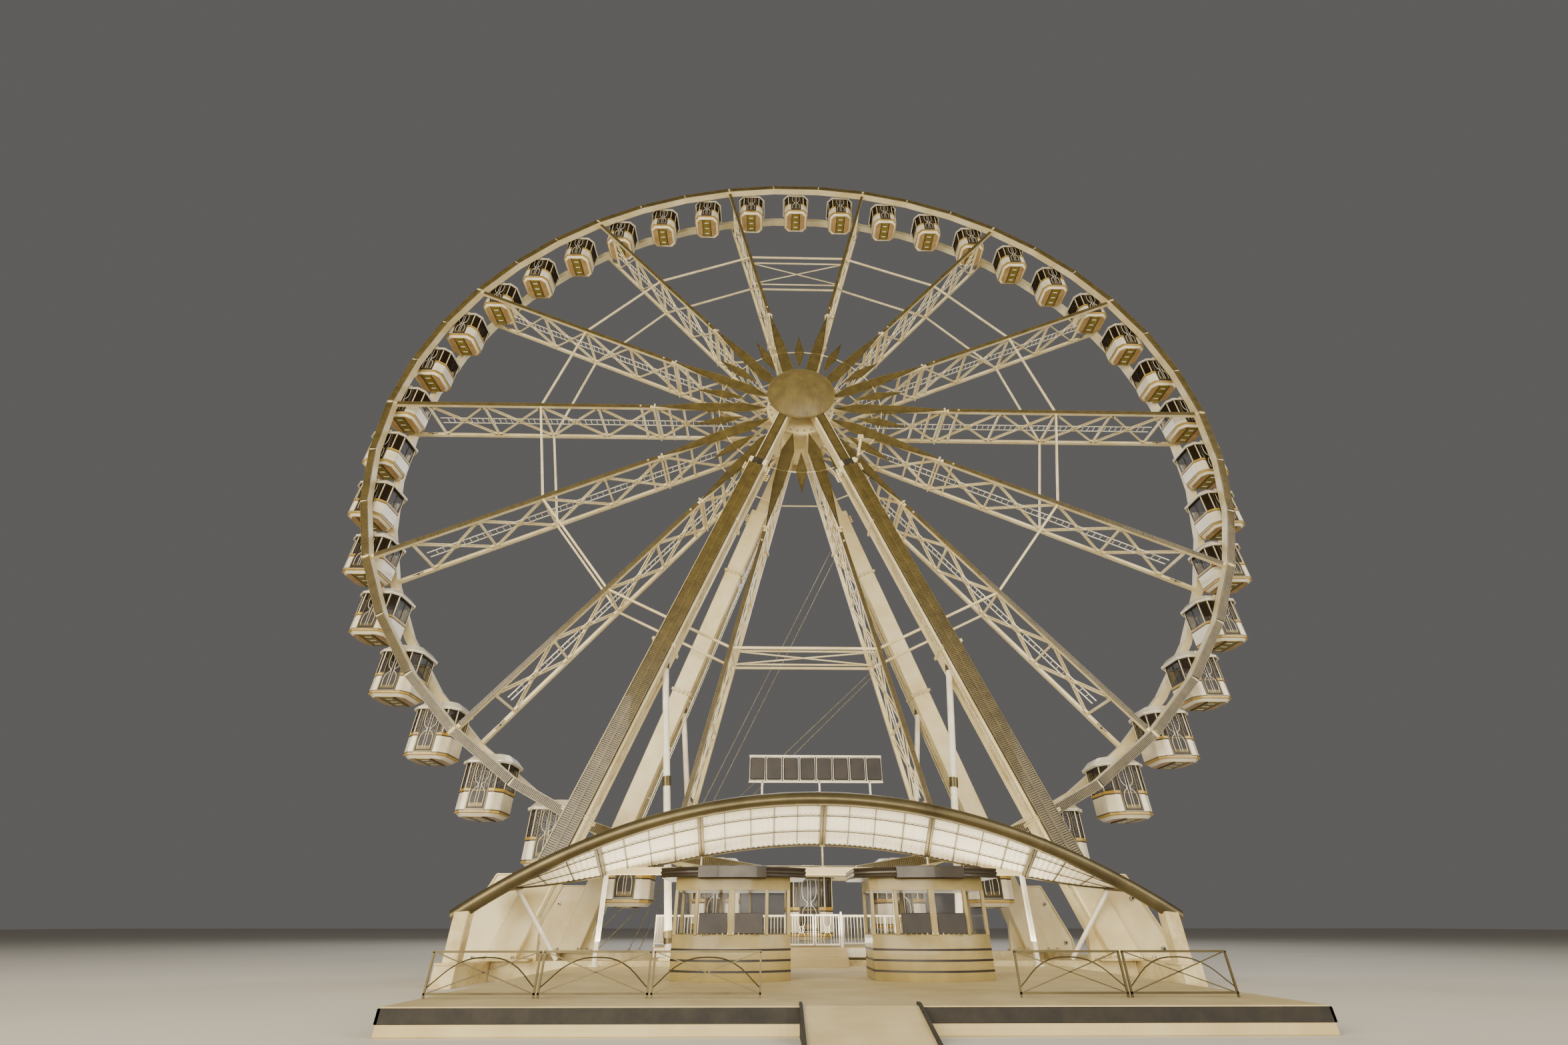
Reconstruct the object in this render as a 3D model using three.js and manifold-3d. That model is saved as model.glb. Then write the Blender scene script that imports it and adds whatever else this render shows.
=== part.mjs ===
import * as THREE from 'three';
import { mergeVertices } from 'three/addons/utils/BufferGeometryUtils.js';
import Module from 'manifold-3d';

const wasm = await Module();
wasm.setup();

// Scale of the model: one metre of the real wheel is 500 mm here, which is 1:2
const metre = 500;
// Seated pieces keep this gap, in millimetres
const gap = 0.3;

// Wheel
const hubHeight = 31.5 * metre;
const spokeCount = 14;
const cabinCount = 42;
const pivotRadius = 27.8 * metre;
const rimPlane = 1.55 * metre;
const rimDepth = 0.42 * metre;
const rimWidth = 0.5 * metre;

// Spokes
const chord = 0.26 * metre;
const trussThickness = 0.2 * metre;
const braceWidth = 0.13 * metre;
const panelNodes = [2.2, 6.1, 10, 13.9, 17.8, 21.7, 25.5].map((r) => r * metre);
const spliceRadius = panelNodes[2];
const tieRadius = panelNodes[4];
const tieWidth = 0.14 * metre;
const trussEnd = panelNodes[6] + braceWidth / 2;

// Light panels on the front. Each outline is [half width, radius], from the hub outwards
const panelThickness = 0.08 * metre;
const rodRadius = 5.6 * metre;
const rodHalf = 0.05 * metre;
const longLeaf = [[0, 2.35], [0.42, 3.9], [0.336, 6.7], [0, 10.15]];
const shortLeaf = [[0, 3.95], [0.35, 5.5], [0, 7.3]];

// Hub and axle
const axleRadius = 0.45 * metre;
const hubFlangeRadius = 2.3 * metre;
const hubBarrelRadius = 1.1 * metre;
const hubCollarRadius = 0.8 * metre;
const hubHalfLength = 1.9 * metre;
const flangeThickness = 0.3 * metre;
const headPlane = 2.45 * metre;
const headBlock = { width: 2.3 * metre, inner: 2 * metre, outer: 3.1 * metre, height: 1.9 * metre };
const coverRadius = 2.26 * metre;
const coverDepth = 0.6 * metre;

// Legs
const legHeadX = 0.55 * metre;
const legFoot = { x: 11.6 * metre, y: 4.6 * metre };
const legWidth = 1.05 * metre;
const legDepth = 1.3 * metre;
const neckWidth = 0.75 * metre;
const neckDepth = 0.9 * metre;
const neckShare = 0.17;
const propShare = 0.59;
const propFootX = 5.5 * metre;
const propWidth = 0.3 * metre;
const gussetHalf = 0.15 * metre;
const gussetOutline = [[10.4, 0.5], [13.6, 0.5], [13.6, 1.1], [12.5, 3.4], [10.7, 3.4]];

// Base frame
const beamHeight = 0.6 * metre;
const beamWidth = 0.7 * metre;
const baseHalfLength = 13.7 * metre;
const armX = 12.3 * metre;
const armEnd = -7.3 * metre;
const stationBeamX = 5.5 * metre;

// Cabins, measured from their pivot
const cabinHalf = 1.05 * metre;
const cabinChamfer = 0.35 * metre;
const cabinWall = 0.09 * metre;
const eavesScale = 1.13;
const roofTopScale = 0.82;
const keelScale = 0.8;
const cabinTop = 0.26 * metre;
const cabinEaves = -0.2 * metre;
const windowTop = -0.3 * metre;
const windowSill = -1.35 * metre;
const cabinFloor = -2.25 * metre;
const cabinBilge = -2.35 * metre;
const cabinKeel = -2.55 * metre;
const windowHalf = 0.6 * metre;
const doorHalf = 0.42 * metre;
const shaftWidth = 0.18 * metre;

// Deck, station and canopy
const deckHeight = 0.46 * metre;
const deckFront = -18.2 * metre;
const deckBack = -5.5 * metre;
const deckHalf = 9 * metre;
const stationHeight = 1 * metre;
const stationFront = -4.1 * metre;
const stationBack = 3.8 * metre;
const stationHalf = 6.2 * metre;
const stairHalf = 1.1 * metre;
const stepLevel = 0.73 * metre;
const stepFront = deckBack - 0.6 * metre;
const stepBack = -5.05 * metre;
const slabBottom = 0.65 * metre;
const rampLength = 1.6 * metre;
const railHeight = 1.05 * metre;
const railWidth = 0.06 * metre;
const railPitch = 1.7 * metre;
const footGap = 0.12 * metre;
const leafWidth = 0.96 * metre;
const leafHeight = 1 * metre;
const leafPanes = 3;
const pinRadius = 0.02 * metre;
const pinHeight = 0.1 * metre;
const canopyFront = -7.5 * metre;
const canopyBack = -5.6 * metre;
const canopyHalf = 12.64 * metre;
const canopyTop = 5.75 * metre;
const canopyEnd = 1.95 * metre;
const tubeRadius = 0.25 * metre;
const canopySteps = 10;
const canopyBackTop = 4.4 * metre;
const canopyBackEnd = 2.9 * metre;
const roofThickness = 0.1 * metre;
const roofInset = 0.985;
const postWidth = 0.16 * metre;
const lowPosts = [-8, -3, 3, 8].map((x) => x * metre);
const highPosts = [-4.4, 0.3, 4.4].map((x) => x * metre);
const rearBeam = { half: 8.2 * metre, level: 3.45 * metre };
const signPosts = [-2.08, 0.13, 2.08].map((x) => x * metre);
const signHalf = 2.6 * metre;
const signLow = 6.35 * metre;
const signHigh = 7.3 * metre;
const signBar = 0.08 * metre;

// Ticket booths
const boothCentre = 2.8 * metre;
const boothHalf = 1.65 * metre;
const boothFront = -12.9 * metre;
const boothDepth = 2.4 * metre;
const boothHeight = 2.66 * metre;
const boothWall = 0.1 * metre;
const boothBand = 0.3 * metre;
const boothBandScale = 1.28;
const boothSill = 1.05 * metre;
const boothHead = 2.1 * metre;
const boothWindows = [[-1.5, -1.02], [-0.92, -0.05], [0.05, 0.92], [1.02, 1.5]];
const boothDoorHalf = 0.4 * metre;

const X = new THREE.Vector3(1, 0, 0);
const Y = new THREE.Vector3(0, 1, 0);
const Z = new THREE.Vector3(0, 0, 1);
const point = (x, y, z) => new THREE.Vector3(x, y, z);

// Colours of the real finishes
const finishes = {
  ivorySteel: [0xe6dcb8, 0.45, 0.1],
  lampBrown: [0x8a6a2c, 0.5, 0.2],
  creamRoof: [0xe8e2c4, 0.5, 0],
  cabinWhite: [0xe9e6d2, 0.4, 0],
  boothOlive: [0xb09a4e, 0.5, 0.1],
  deckTan: [0xb8a878, 0.8, 0],
  galvanised: [0xc9c4ae, 0.5, 0.4],
};

const model = new THREE.Group();
const wheel = new THREE.Group();
wheel.position.set(0, 0, hubHeight);
model.add(wheel);

// Make a closed geometry into a solid, with its shared corners merged
function solid(geometry) {
  const bare = geometry.clone();
  bare.deleteAttribute('normal');
  bare.deleteAttribute('uv');
  const merged = mergeVertices(bare, 1e-3);
  return new wasm.Manifold(new wasm.Mesh({
    numProp: 3,
    vertProperties: merged.attributes.position.array,
    triVerts: Uint32Array.from(merged.index.array),
  }));
}

const join = (solids) => solids.reduce((sum, next) => sum.add(next));

function surface(body) {
  const mesh = body.getMesh();
  const geometry = new THREE.BufferGeometry();
  geometry.setAttribute('position', new THREE.BufferAttribute(mesh.vertProperties, 3));
  geometry.setIndex(new THREE.BufferAttribute(mesh.triVerts, 1));
  geometry.computeVertexNormals();
  return geometry;
}

function piece(group, name, geometry, finish, place = point(0, 0, 0)) {
  const [color, roughness, metalness] = finishes[finish];
  const material = new THREE.MeshStandardMaterial({ color, roughness, metalness });
  const mesh = new THREE.Mesh(geometry, material);
  mesh.name = name;
  mesh.position.copy(place);
  group.add(mesh);
}

// A box between two corners
function box(low, high) {
  const size = high.clone().sub(low);
  const geometry = new THREE.BoxGeometry(size.x, size.y, size.z);
  geometry.translate(...low.clone().add(high).multiplyScalar(0.5));
  return solid(geometry);
}

// A straight bar of box section, its depth as near as can be in line with side
function bar(from, to, width, depth, side = Y) {
  const along = to.clone().sub(from);
  const geometry = new THREE.BoxGeometry(width, depth, along.length());
  const z = along.normalize();
  const x = side.clone().cross(z).normalize();
  const turn = new THREE.Matrix4().makeBasis(x, z.clone().cross(x), z);
  geometry.applyMatrix4(turn.setPosition(from.clone().lerp(to, 0.5)));
  return solid(geometry);
}

// A straight-sided block: an outline in the directions u and v, pushed along u x v
function prism(outline, u, v, from, depth) {
  const shape = new THREE.Shape(outline.map(([a, b]) => new THREE.Vector2(a, b)));
  const geometry = new THREE.ExtrudeGeometry(shape, { depth, bevelEnabled: false });
  const turn = new THREE.Matrix4().makeBasis(u, v, u.clone().cross(v));
  return solid(geometry.applyMatrix4(turn.setPosition(from)));
}

// A plate drawn in the X-Z plane, between two distances along Y
const plate = (outline, low, high) => prism(outline, X, Z, Y.clone().multiplyScalar(high), high - low);

// A column of one outline, scaled to each level and closed at both ends
function loft(outline, levels) {
  const corners = outline.length;
  const positions = levels.flatMap(([z, scale]) => outline.flatMap(([x, y]) => [x * scale, y * scale, z]));
  const caps = THREE.ShapeUtils.triangulateShape(outline.map(([x, y]) => new THREE.Vector2(x, y)), []);
  const last = (levels.length - 1) * corners;
  const faces = caps.flatMap(([a, b, c]) => [c, b, a, last + a, last + b, last + c]);
  for (let level = 0; level + 1 < levels.length; level += 1) {
    for (let corner = 0; corner < corners; corner += 1) {
      const a = level * corners + corner;
      const b = level * corners + (corner + 1) % corners;
      faces.push(a, b, b + corners, a, b + corners, a + corners);
    }
  }
  const geometry = new THREE.BufferGeometry();
  geometry.setAttribute('position', new THREE.Float32BufferAttribute(positions, 3));
  geometry.setIndex(faces);
  return geometry;
}

function turned(geometry, angle) {
  return solid(geometry.clone().rotateY(angle));
}

const mirrored = (geometry, sideways, backwards) => {
  const copy = geometry.clone().scale(sideways, backwards, 1);
  if (sideways * backwards < 0) {
    const index = copy.index.array;
    for (let i = 0; i < index.length; i += 3) [index[i], index[i + 1]] = [index[i + 1], index[i]];
  }
  copy.computeVertexNormals();
  return copy;
};

const spokeAngles = Array.from({ length: spokeCount }, (_, i) => ((i + 0.5) * 2 * Math.PI) / spokeCount);

// Spoke: a flat truss of two chords, struts and crossed braces, standing edge on to the front
function truss(nodes, start, end) {
  const outer = rimPlane + chord / 2;
  const inner = rimPlane - chord / 2;
  const half = braceWidth / 2;
  const side = trussThickness / 2;
  const cuts = nodes.slice(1).flatMap((node, i) => {
    const low = nodes[i] + half;
    const high = node - half;
    const middle = (low + high) / 2;
    const slope = inner / (middle - low);
    const across = half * Math.hypot(1, slope);
    const along = across / slope;
    return [
      [[-inner + across, low], [inner - across, low], [0, middle - along]],
      [[-inner + across, high], [0, middle + along], [inner - across, high]],
      [[inner, low + along], [inner, high - along], [across, middle]],
      [[-inner, low + along], [-across, middle], [-inner, high - along]],
    ];
  });
  const body = box(point(-side, -outer, start), point(side, outer, end));
  return surface(body.subtract(join(cuts.map((cut) => prism(cut, Y, Z, point(-2 * side, 0, 0), 4 * side)))));
}

// Hub: a barrel with two spoke flanges, turned about the axle
function hub() {
  const bore = (axleRadius + gap) / Math.cos(Math.PI / spokeCount);
  const flange = rimPlane + flangeThickness / 2;
  const inside = rimPlane - flangeThickness / 2;
  const profile = [
    [bore, -hubHalfLength], [hubCollarRadius, -hubHalfLength], [hubCollarRadius, -flange],
    [hubFlangeRadius, -flange], [hubFlangeRadius, -inside], [hubBarrelRadius, -inside],
    [hubBarrelRadius, inside], [hubFlangeRadius, inside], [hubFlangeRadius, flange],
    [hubCollarRadius, flange], [hubCollarRadius, hubHalfLength], [bore, hubHalfLength], [bore, -hubHalfLength],
  ];
  return solid(new THREE.LatheGeometry(profile.map(([r, y]) => new THREE.Vector2(r, y)), spokeCount));
}

const innerTruss = truss([...panelNodes.slice(0, 2), spliceRadius - braceWidth / 2],
  panelNodes[0] - braceWidth, spliceRadius - gap / 2);
piece(wheel, 'hub_and_inner_spokes', surface(join([
  hub(), ...spokeAngles.map((angle) => turned(innerTruss, angle)),
])), 'ivorySteel');

const outerTruss = truss([spliceRadius + braceWidth / 2, ...panelNodes.slice(3)],
  spliceRadius + gap / 2, trussEnd - gap / 2);
const tieEnd = point(0, 0, tieRadius);
const ties = spokeAngles.flatMap((angle) => [-rimPlane, rimPlane].map((y) => {
  const from = tieEnd.clone().applyAxisAngle(Y, angle);
  const to = tieEnd.clone().applyAxisAngle(Y, angle + (2 * Math.PI) / spokeCount);
  return bar(from.setY(y), to.setY(y), tieWidth, tieWidth);
}));
piece(wheel, 'outer_spokes_and_ties', surface(join([
  ...spokeAngles.map((angle) => turned(outerTruss, angle)), ...ties,
])), 'ivorySteel');

function circle(count, radius, phase) {
  return Array.from({ length: count }, (_, i) => {
    const angle = ((i + phase) * 2 * Math.PI) / count;
    return [radius * Math.sin(angle), radius * Math.cos(angle)];
  });
}

// A flat ring of straight lengths
function ringPlate(count, outside, inside, low, high, phase) {
  return plate(circle(count, outside, phase), low, high)
    .subtract(plate(circle(count, inside, phase), low - metre, high + metre));
}

// Each rim is 42 straight lengths, so its kinks fall at the spokes and its flats at the cabins, and it carries the
// last stretch of the spokes' chords, which run on alone past the last strut so that the cabins can swing by
const halfStep = Math.PI / cabinCount;
for (const [name, side] of [['front_rim', -1], ['rear_rim', 1]]) {
  const low = side * rimPlane - rimWidth / 2;
  const ring = ringPlate(cabinCount, (pivotRadius + rimDepth / 2) / Math.cos(halfStep),
    (pivotRadius - rimDepth / 2) / Math.cos(halfStep), low, low + rimWidth, 0.5);
  const chordEnd = box(point(-trussThickness / 2, side * rimPlane - chord / 2, trussEnd + gap / 2),
    point(trussThickness / 2, side * rimPlane + chord / 2, pivotRadius));
  const chordEnds = spokeAngles.map((angle) => turned(surface(chordEnd), angle));
  piece(wheel, name, surface(join([ring, ...chordEnds])), 'ivorySteel');
}

// Light panels: a long leaf on each spoke and a short one between, on a ring of rods
const panelBack = -(rimPlane + chord / 2) - gap;
function leaf(outline) {
  const right = outline.map(([x, z]) => [x * metre, z * metre]);
  const left = right.slice(1, -1).reverse().map(([x, z]) => [-x, z]);
  return surface(plate([...right, ...left], panelBack - panelThickness, panelBack));
}
const rodRing = ringPlate(spokeCount * 2, rodRadius + rodHalf, rodRadius - rodHalf,
  panelBack - panelThickness * 0.8, panelBack - panelThickness * 0.2, 0);
const leafTurns = spokeAngles.flatMap((angle) => [
  turned(leaf(longLeaf), angle), turned(leaf(shortLeaf), angle + Math.PI / spokeCount),
]);
piece(wheel, 'front_light_panels', surface(join([rodRing, ...leafTurns])), 'lampBrown');

// Cabin: an eight-sided tub and roof on four corner panels, hung from its shaft
const cabinOutline = [[1, -1], [1, 1], [-1, 1], [-1, -1]].flatMap(([x, y], i) => {
  const cut = cabinHalf - cabinChamfer;
  const first = [x * cabinHalf, y * cut];
  const second = [x * cut, y * cabinHalf];
  return i % 2 ? [first, second] : [second, first];
});
function cabin() {
  const shell = solid(loft(cabinOutline, [[cabinKeel, keelScale], [cabinBilge, 1], [cabinEaves / 2, 1]]));
  const roof = solid(loft(cabinOutline, [[cabinEaves, eavesScale], [cabinTop, roofTopScale]]));
  const inside = 1 - cabinWall / cabinHalf;
  const room = solid(loft(cabinOutline, [[cabinFloor, inside], [windowTop, inside]]));
  const reach = 1.4 * cabinHalf;
  const windows = [
    box(point(-windowHalf, 0, windowSill), point(windowHalf, reach, windowTop)),
    box(point(-reach, -windowHalf, windowSill), point(reach, windowHalf, windowTop)),
  ];
  const doorway = box(point(-doorHalf, -reach, cabinFloor), point(doorHalf, 0, windowTop));
  const shaftEnd = rimPlane - rimWidth / 2 - gap;
  const shaft = box(point(-shaftWidth / 2, -shaftEnd, -shaftWidth / 2), point(shaftWidth / 2, shaftEnd, shaftWidth / 2));
  return join([shell, roof]).subtract(join([room, ...windows, doorway])).add(shaft);
}
const cabinGeometry = surface(cabin());
for (let i = 0; i < cabinCount; i += 1) {
  const angle = (i * 2 * Math.PI) / cabinCount;
  const place = point(pivotRadius * Math.sin(angle), 0, pivotRadius * Math.cos(angle));
  piece(wheel, `cabin_${String(i + 1).padStart(2, '0')}`, cabinGeometry, 'cabinWhite', place);
}

// Axle: fixed in the two leg head blocks, with a domed cap at the back
function headBlocks(extra) {
  const half = headBlock.width / 2 + extra;
  const rise = headBlock.height / 2 + extra;
  const rows = [[headBlock.inner - extra, headBlock.outer + extra], [-headBlock.outer - extra, -headBlock.inner + extra]];
  return rows.map(([low, high]) => box(point(-half, low, hubHeight - rise), point(half, high, hubHeight + rise)));
}
function axle() {
  const face = headBlock.outer;
  const capRadius = 0.8 * coverRadius;
  const profile = [[0, -face], [axleRadius, -face], [axleRadius, face], [capRadius, face],
    [capRadius, face + 0.1 * metre], [0, face + coverDepth]];
  const geometry = new THREE.LatheGeometry(profile.map(([r, y]) => new THREE.Vector2(r, y)), spokeCount);
  return solid(geometry.rotateY(Math.PI / spokeCount).translate(0, 0, hubHeight));
}
piece(model, 'axle', surface(join([axle(), ...headBlocks(0)])), 'ivorySteel');

// The front cover is a shallow dish over the leg heads
const coverBack = -headBlock.outer - gap;
const coverProfile = [[0, -1], [0.55, -0.92], [0.85, -0.55], [1, -0.1], [1, 0], [0, 0]];
const cover = new THREE.LatheGeometry(coverProfile
  .map(([r, y]) => new THREE.Vector2(r * coverRadius, coverBack + y * coverDepth)), 2 * spokeCount);
piece(model, 'front_axle_cover', surface(solid(cover.translate(0, 0, hubHeight))), 'lampBrown');

// Legs: a box leg with a slimmer neck, its foot gusset and its prop
function leg() {
  const head = point(legHeadX, headPlane, hubHeight);
  const foot = point(legFoot.x, legFoot.y, beamHeight);
  const neckEnd = head.clone().lerp(foot, neckShare);
  const propTop = head.clone().lerp(foot, propShare);
  const propFoot = point(propFootX, legFoot.y, beamHeight / 2);
  const overrun = foot.clone().lerp(head, -0.05);
  const gusset = plate(gussetOutline.map(([x, z]) => [x * metre, z * metre]),
    legFoot.y - gussetHalf, legFoot.y + gussetHalf);
  const whole = join([
    bar(head, neckEnd.clone().lerp(foot, 0.01), neckWidth, neckDepth),
    bar(neckEnd, overrun, legWidth, legDepth),
    bar(propTop, propFoot, propWidth, propWidth),
    gusset,
  ]);
  const ground = box(point(-metre, -2 * legFoot.y, -2 * metre), point(2 * legFoot.x, 2 * legFoot.y, beamHeight + gap));
  return surface(whole.subtract(join([ground, ...headBlocks(gap)])));
}
const legGeometry = leg();
for (const [row, backwards] of [['front', -1], ['rear', 1]]) {
  for (const [hand, sideways] of [['left', -1], ['right', 1]]) {
    piece(model, `${row}_leg_${hand}`, mirrored(legGeometry, sideways, backwards), 'ivorySteel');
  }
}

// Base frame: two long beams under the feet and five cross beams, the outer two of which carry the canopy
function baseFrame() {
  const rows = [-1, 1].map((side) => box(
    point(-baseHalfLength, side * legFoot.y - beamWidth / 2, 0),
    point(baseHalfLength, side * legFoot.y + beamWidth / 2, beamHeight)));
  const crossings = [[-armX, armEnd], [-stationBeamX, -legFoot.y], [0, beamWidth - legFoot.y], [stationBeamX, -legFoot.y],
    [armX, armEnd]]
    .map(([x, start]) => box(point(x - beamWidth / 2, start - beamWidth, 0),
      point(x + beamWidth / 2, legFoot.y + beamWidth, beamHeight)));
  return join([...rows, ...crossings]);
}
piece(model, 'base_frame', surface(baseFrame()), 'ivorySteel');

// A railing: a plate with one opening between each two posts
function railing(start, end, y, level) {
  const count = Math.round((end - start) / railPitch);
  const pitch = (end - start - railWidth) / count;
  const low = level + footGap;
  const high = level + railHeight - railWidth;
  const holes = Array.from({ length: count }, (_, i) => {
    const from = start + railWidth + i * pitch;
    const to = from + pitch - railWidth;
    return [[from, low], [to, low], [to, high], [from, high]];
  });
  const outline = [[start, level - railWidth], [end, level - railWidth], [end, level + railHeight],
    [start, level + railHeight]];
  return plate(outline, y, y + railWidth)
    .subtract(join(holes.map((hole) => plate(hole, y - metre, y + metre))));
}

// Boarding platform: the deck, its ramp and steps, and the station floor with its railings
const gatePlane = stationFront - 0.3 * metre;
const gatePostX = stairHalf - railWidth;
function platform() {
  const floors = [
    box(point(-deckHalf, deckFront, 0), point(deckHalf, deckBack, deckHeight)),
    box(point(-stairHalf, stepFront, deckHeight / 2), point(stairHalf, stepBack, stepLevel)),
    box(point(-stairHalf, deckBack - 0.1 * metre, slabBottom), point(stairHalf, stationBack, stationHeight)),
    box(point(-stationHalf, stationFront, slabBottom), point(stationHalf, stationBack, stationHeight)),
  ];
  const ramp = prism([[deckFront - rampLength, 0], [deckFront + rampLength, 0], [deckFront, deckHeight]], Y, Z,
    point(-stairHalf, 0, 0), 2 * stairHalf);
  const gatePosts = [-1, 1].map((side) => bar(point(side * gatePostX, gatePlane, slabBottom + railWidth),
    point(side * gatePostX, gatePlane, stationHeight + railHeight + pinHeight), railWidth, railWidth));
  const rails = [
    railing(-stationHalf, -stairHalf, stationFront, stationHeight),
    railing(stairHalf, stationHalf, stationFront, stationHeight),
    railing(-stationHalf, stationHalf, stationBack - railWidth, stationHeight),
  ];
  return join([...floors, ramp, ...gatePosts, ...rails]);
}
piece(model, 'boarding_platform', surface(platform()), 'deckTan');

// Entrance gates: each leaf turns on a pin that stands on the landing
const gateAxisX = gatePostX - 1.5 * railWidth;
function gateLeaf() {
  const low = stationHeight + railWidth;
  const start = -railWidth / 2;
  const pitch = (leafWidth - railWidth) / leafPanes;
  const outline = [[start, low], [start + leafWidth, low], [start + leafWidth, low + leafHeight],
    [start, low + leafHeight]];
  const holes = Array.from({ length: leafPanes }, (_, i) => {
    const from = start + railWidth + i * pitch;
    const to = from + pitch - railWidth;
    return [[from, low + railWidth], [to, low + railWidth], [to, low + leafHeight - railWidth],
      [from, low + leafHeight - railWidth]];
  });
  const half = railWidth / 2;
  const pin = solid(new THREE.CylinderGeometry(pinRadius, pinRadius, pinHeight, 8).rotateX(Math.PI / 2)
    .translate(0, 0, stationHeight + gap + pinHeight / 2));
  return plate(outline, -half, half).subtract(join(holes.map((hole) => plate(hole, -metre, metre)))).add(pin);
}
const gateGeometry = surface(gateLeaf());
piece(model, 'gate_left', gateGeometry, 'galvanised', point(-gateAxisX, gatePlane, 0));
piece(model, 'gate_right', mirrored(gateGeometry, -1, 1), 'galvanised', point(gateAxisX, gatePlane, 0));

// Canopy: a bowed front tube, a thin roof back to a lower edge, a rear beam with posts, and a bare sign frame
function canopy() {
  const rise = canopyTop - canopyEnd;
  const bow = (canopyHalf ** 2 + rise ** 2) / (2 * rise);
  const frontHeight = (x) => canopyTop - bow + Math.sqrt(bow ** 2 - x ** 2);
  const stations = Array.from({ length: canopySteps + 1 }, (_, i) => canopyHalf * (2 * i / canopySteps - 1));
  const arch = new THREE.CatmullRomCurve3(stations.map((x) => point(x, canopyFront, frontHeight(x))));
  const ring = new THREE.Shape(circle(6, tubeRadius, 0.5).map(([x, y]) => new THREE.Vector2(x, y)));
  const tube = solid(new THREE.ExtrudeGeometry(ring, { steps: canopySteps, extrudePath: arch }));
  const backHeight = (x) => canopyBackEnd + (canopyBackTop - canopyBackEnd)
    * (0.5 + 0.5 * Math.cos(Math.PI * Math.min(1, Math.abs(x) / canopyHalf)));
  const corners = stations.flatMap((x) => {
    const inner = x * roofInset;
    return [
      [inner, canopyFront, frontHeight(inner) - roofThickness / 2],
      [inner, canopyFront, frontHeight(inner) + roofThickness / 2],
      [inner, canopyBack, backHeight(inner) + roofThickness / 2],
      [inner, canopyBack, backHeight(inner) - roofThickness / 2],
    ];
  });
  const faces = [0, 1, 2, 0, 2, 3];
  for (let i = 0; i < canopySteps; i += 1) {
    for (let side = 0; side < 4; side += 1) {
      const a = 4 * i + side;
      const b = 4 * i + (side + 1) % 4;
      faces.push(a, a + 4, b, b, a + 4, b + 4);
    }
  }
  const last = 4 * canopySteps;
  faces.push(last, last + 2, last + 1, last, last + 3, last + 2);
  const sheet = new THREE.BufferGeometry();
  sheet.setAttribute('position', new THREE.Float32BufferAttribute(corners.flat(), 3));
  sheet.setIndex(faces);
  const beamY = canopyBack - postWidth / 2;
  const upright = (x, y, low, high, width) => bar(point(x, y, low), point(x, y, high), width, width);
  const stand = [
    bar(point(-rearBeam.half, beamY, rearBeam.level), point(rearBeam.half, beamY, rearBeam.level),
      postWidth, 1.5 * postWidth, Z),
    ...lowPosts.map((x) => upright(x, beamY, deckHeight + gap, rearBeam.level, postWidth)),
    ...highPosts.map((x) => upright(x, beamY, rearBeam.level, backHeight(x), postWidth * 0.8)),
    ...[-armX, armX].map((x) => upright(x, canopyFront, beamHeight + gap, frontHeight(x), 2 * tubeRadius)),
  ];
  const sign = [
    ...[signLow, signHigh].map((z) => bar(point(-signHalf, canopyFront, z), point(signHalf, canopyFront, z),
      signBar, signBar)),
    ...signPosts.map((x) => upright(x, canopyFront, frontHeight(x), signHigh, signBar)),
  ];
  return join([tube, solid(sheet), ...stand, ...sign]);
}
piece(model, 'canopy', surface(canopy()), 'creamRoof');

// Ticket booths: a hollow body with a bowed front of windows, a doorway behind and a wide roof band
const boothOutline = [[boothHalf, 0], [-boothHalf, 0], [-boothHalf, -0.7 * boothDepth],
  [-0.6 * boothHalf, -0.93 * boothDepth], [0.6 * boothHalf, -0.93 * boothDepth], [boothHalf, -0.7 * boothDepth]]
  .map(([x, y]) => [x, y + boothDepth / 2]);
function booth() {
  const low = deckHeight + gap;
  const high = deckHeight + boothHeight;
  const inside = 1 - boothWall / boothHalf;
  const body = solid(loft(boothOutline, [[low, 1], [high - boothBand / 2, 1]]));
  const roof = solid(loft(boothOutline, [[high - boothBand, boothBandScale], [high, boothBandScale]]));
  const room = solid(loft(boothOutline, [[low + boothWall, inside], [high - 1.6 * boothBand, inside]]));
  const head = low + boothHead;
  const windows = boothWindows.map(([from, to]) => box(
    point(from * metre, -boothDepth, low + boothSill), point(to * metre, 0, head)));
  const door = box(point(-boothDoorHalf, 0, low + boothWall), point(boothDoorHalf, boothDepth, head));
  return join([body, roof]).subtract(join([room, ...windows, door]));
}
const boothGeometry = surface(booth());
for (const [hand, side] of [['left', -1], ['right', 1]]) {
  piece(model, `ticket_booth_${hand}`, boothGeometry, 'boothOlive',
    point(side * boothCentre, boothFront + boothDepth / 2, 0));
}

export default model;
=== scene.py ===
# %% [markdown]
# # A ferris wheel, dressed in Blender
# The CAD model of the wheel is loaded as a fixed frame: where each piece stands, what turns and how big it
# is. This lesson adds what the eye looks for: round tubes, lattice members, lamps in their trays, glass and
# paint. Sizes are written in metres of the real wheel, and each finished piece is halved, as the CAD is a
# 1:2 model.

# %% Load the frame
import math
from contextlib import contextmanager

import bpy
from mathutils import Matrix, Vector


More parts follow.
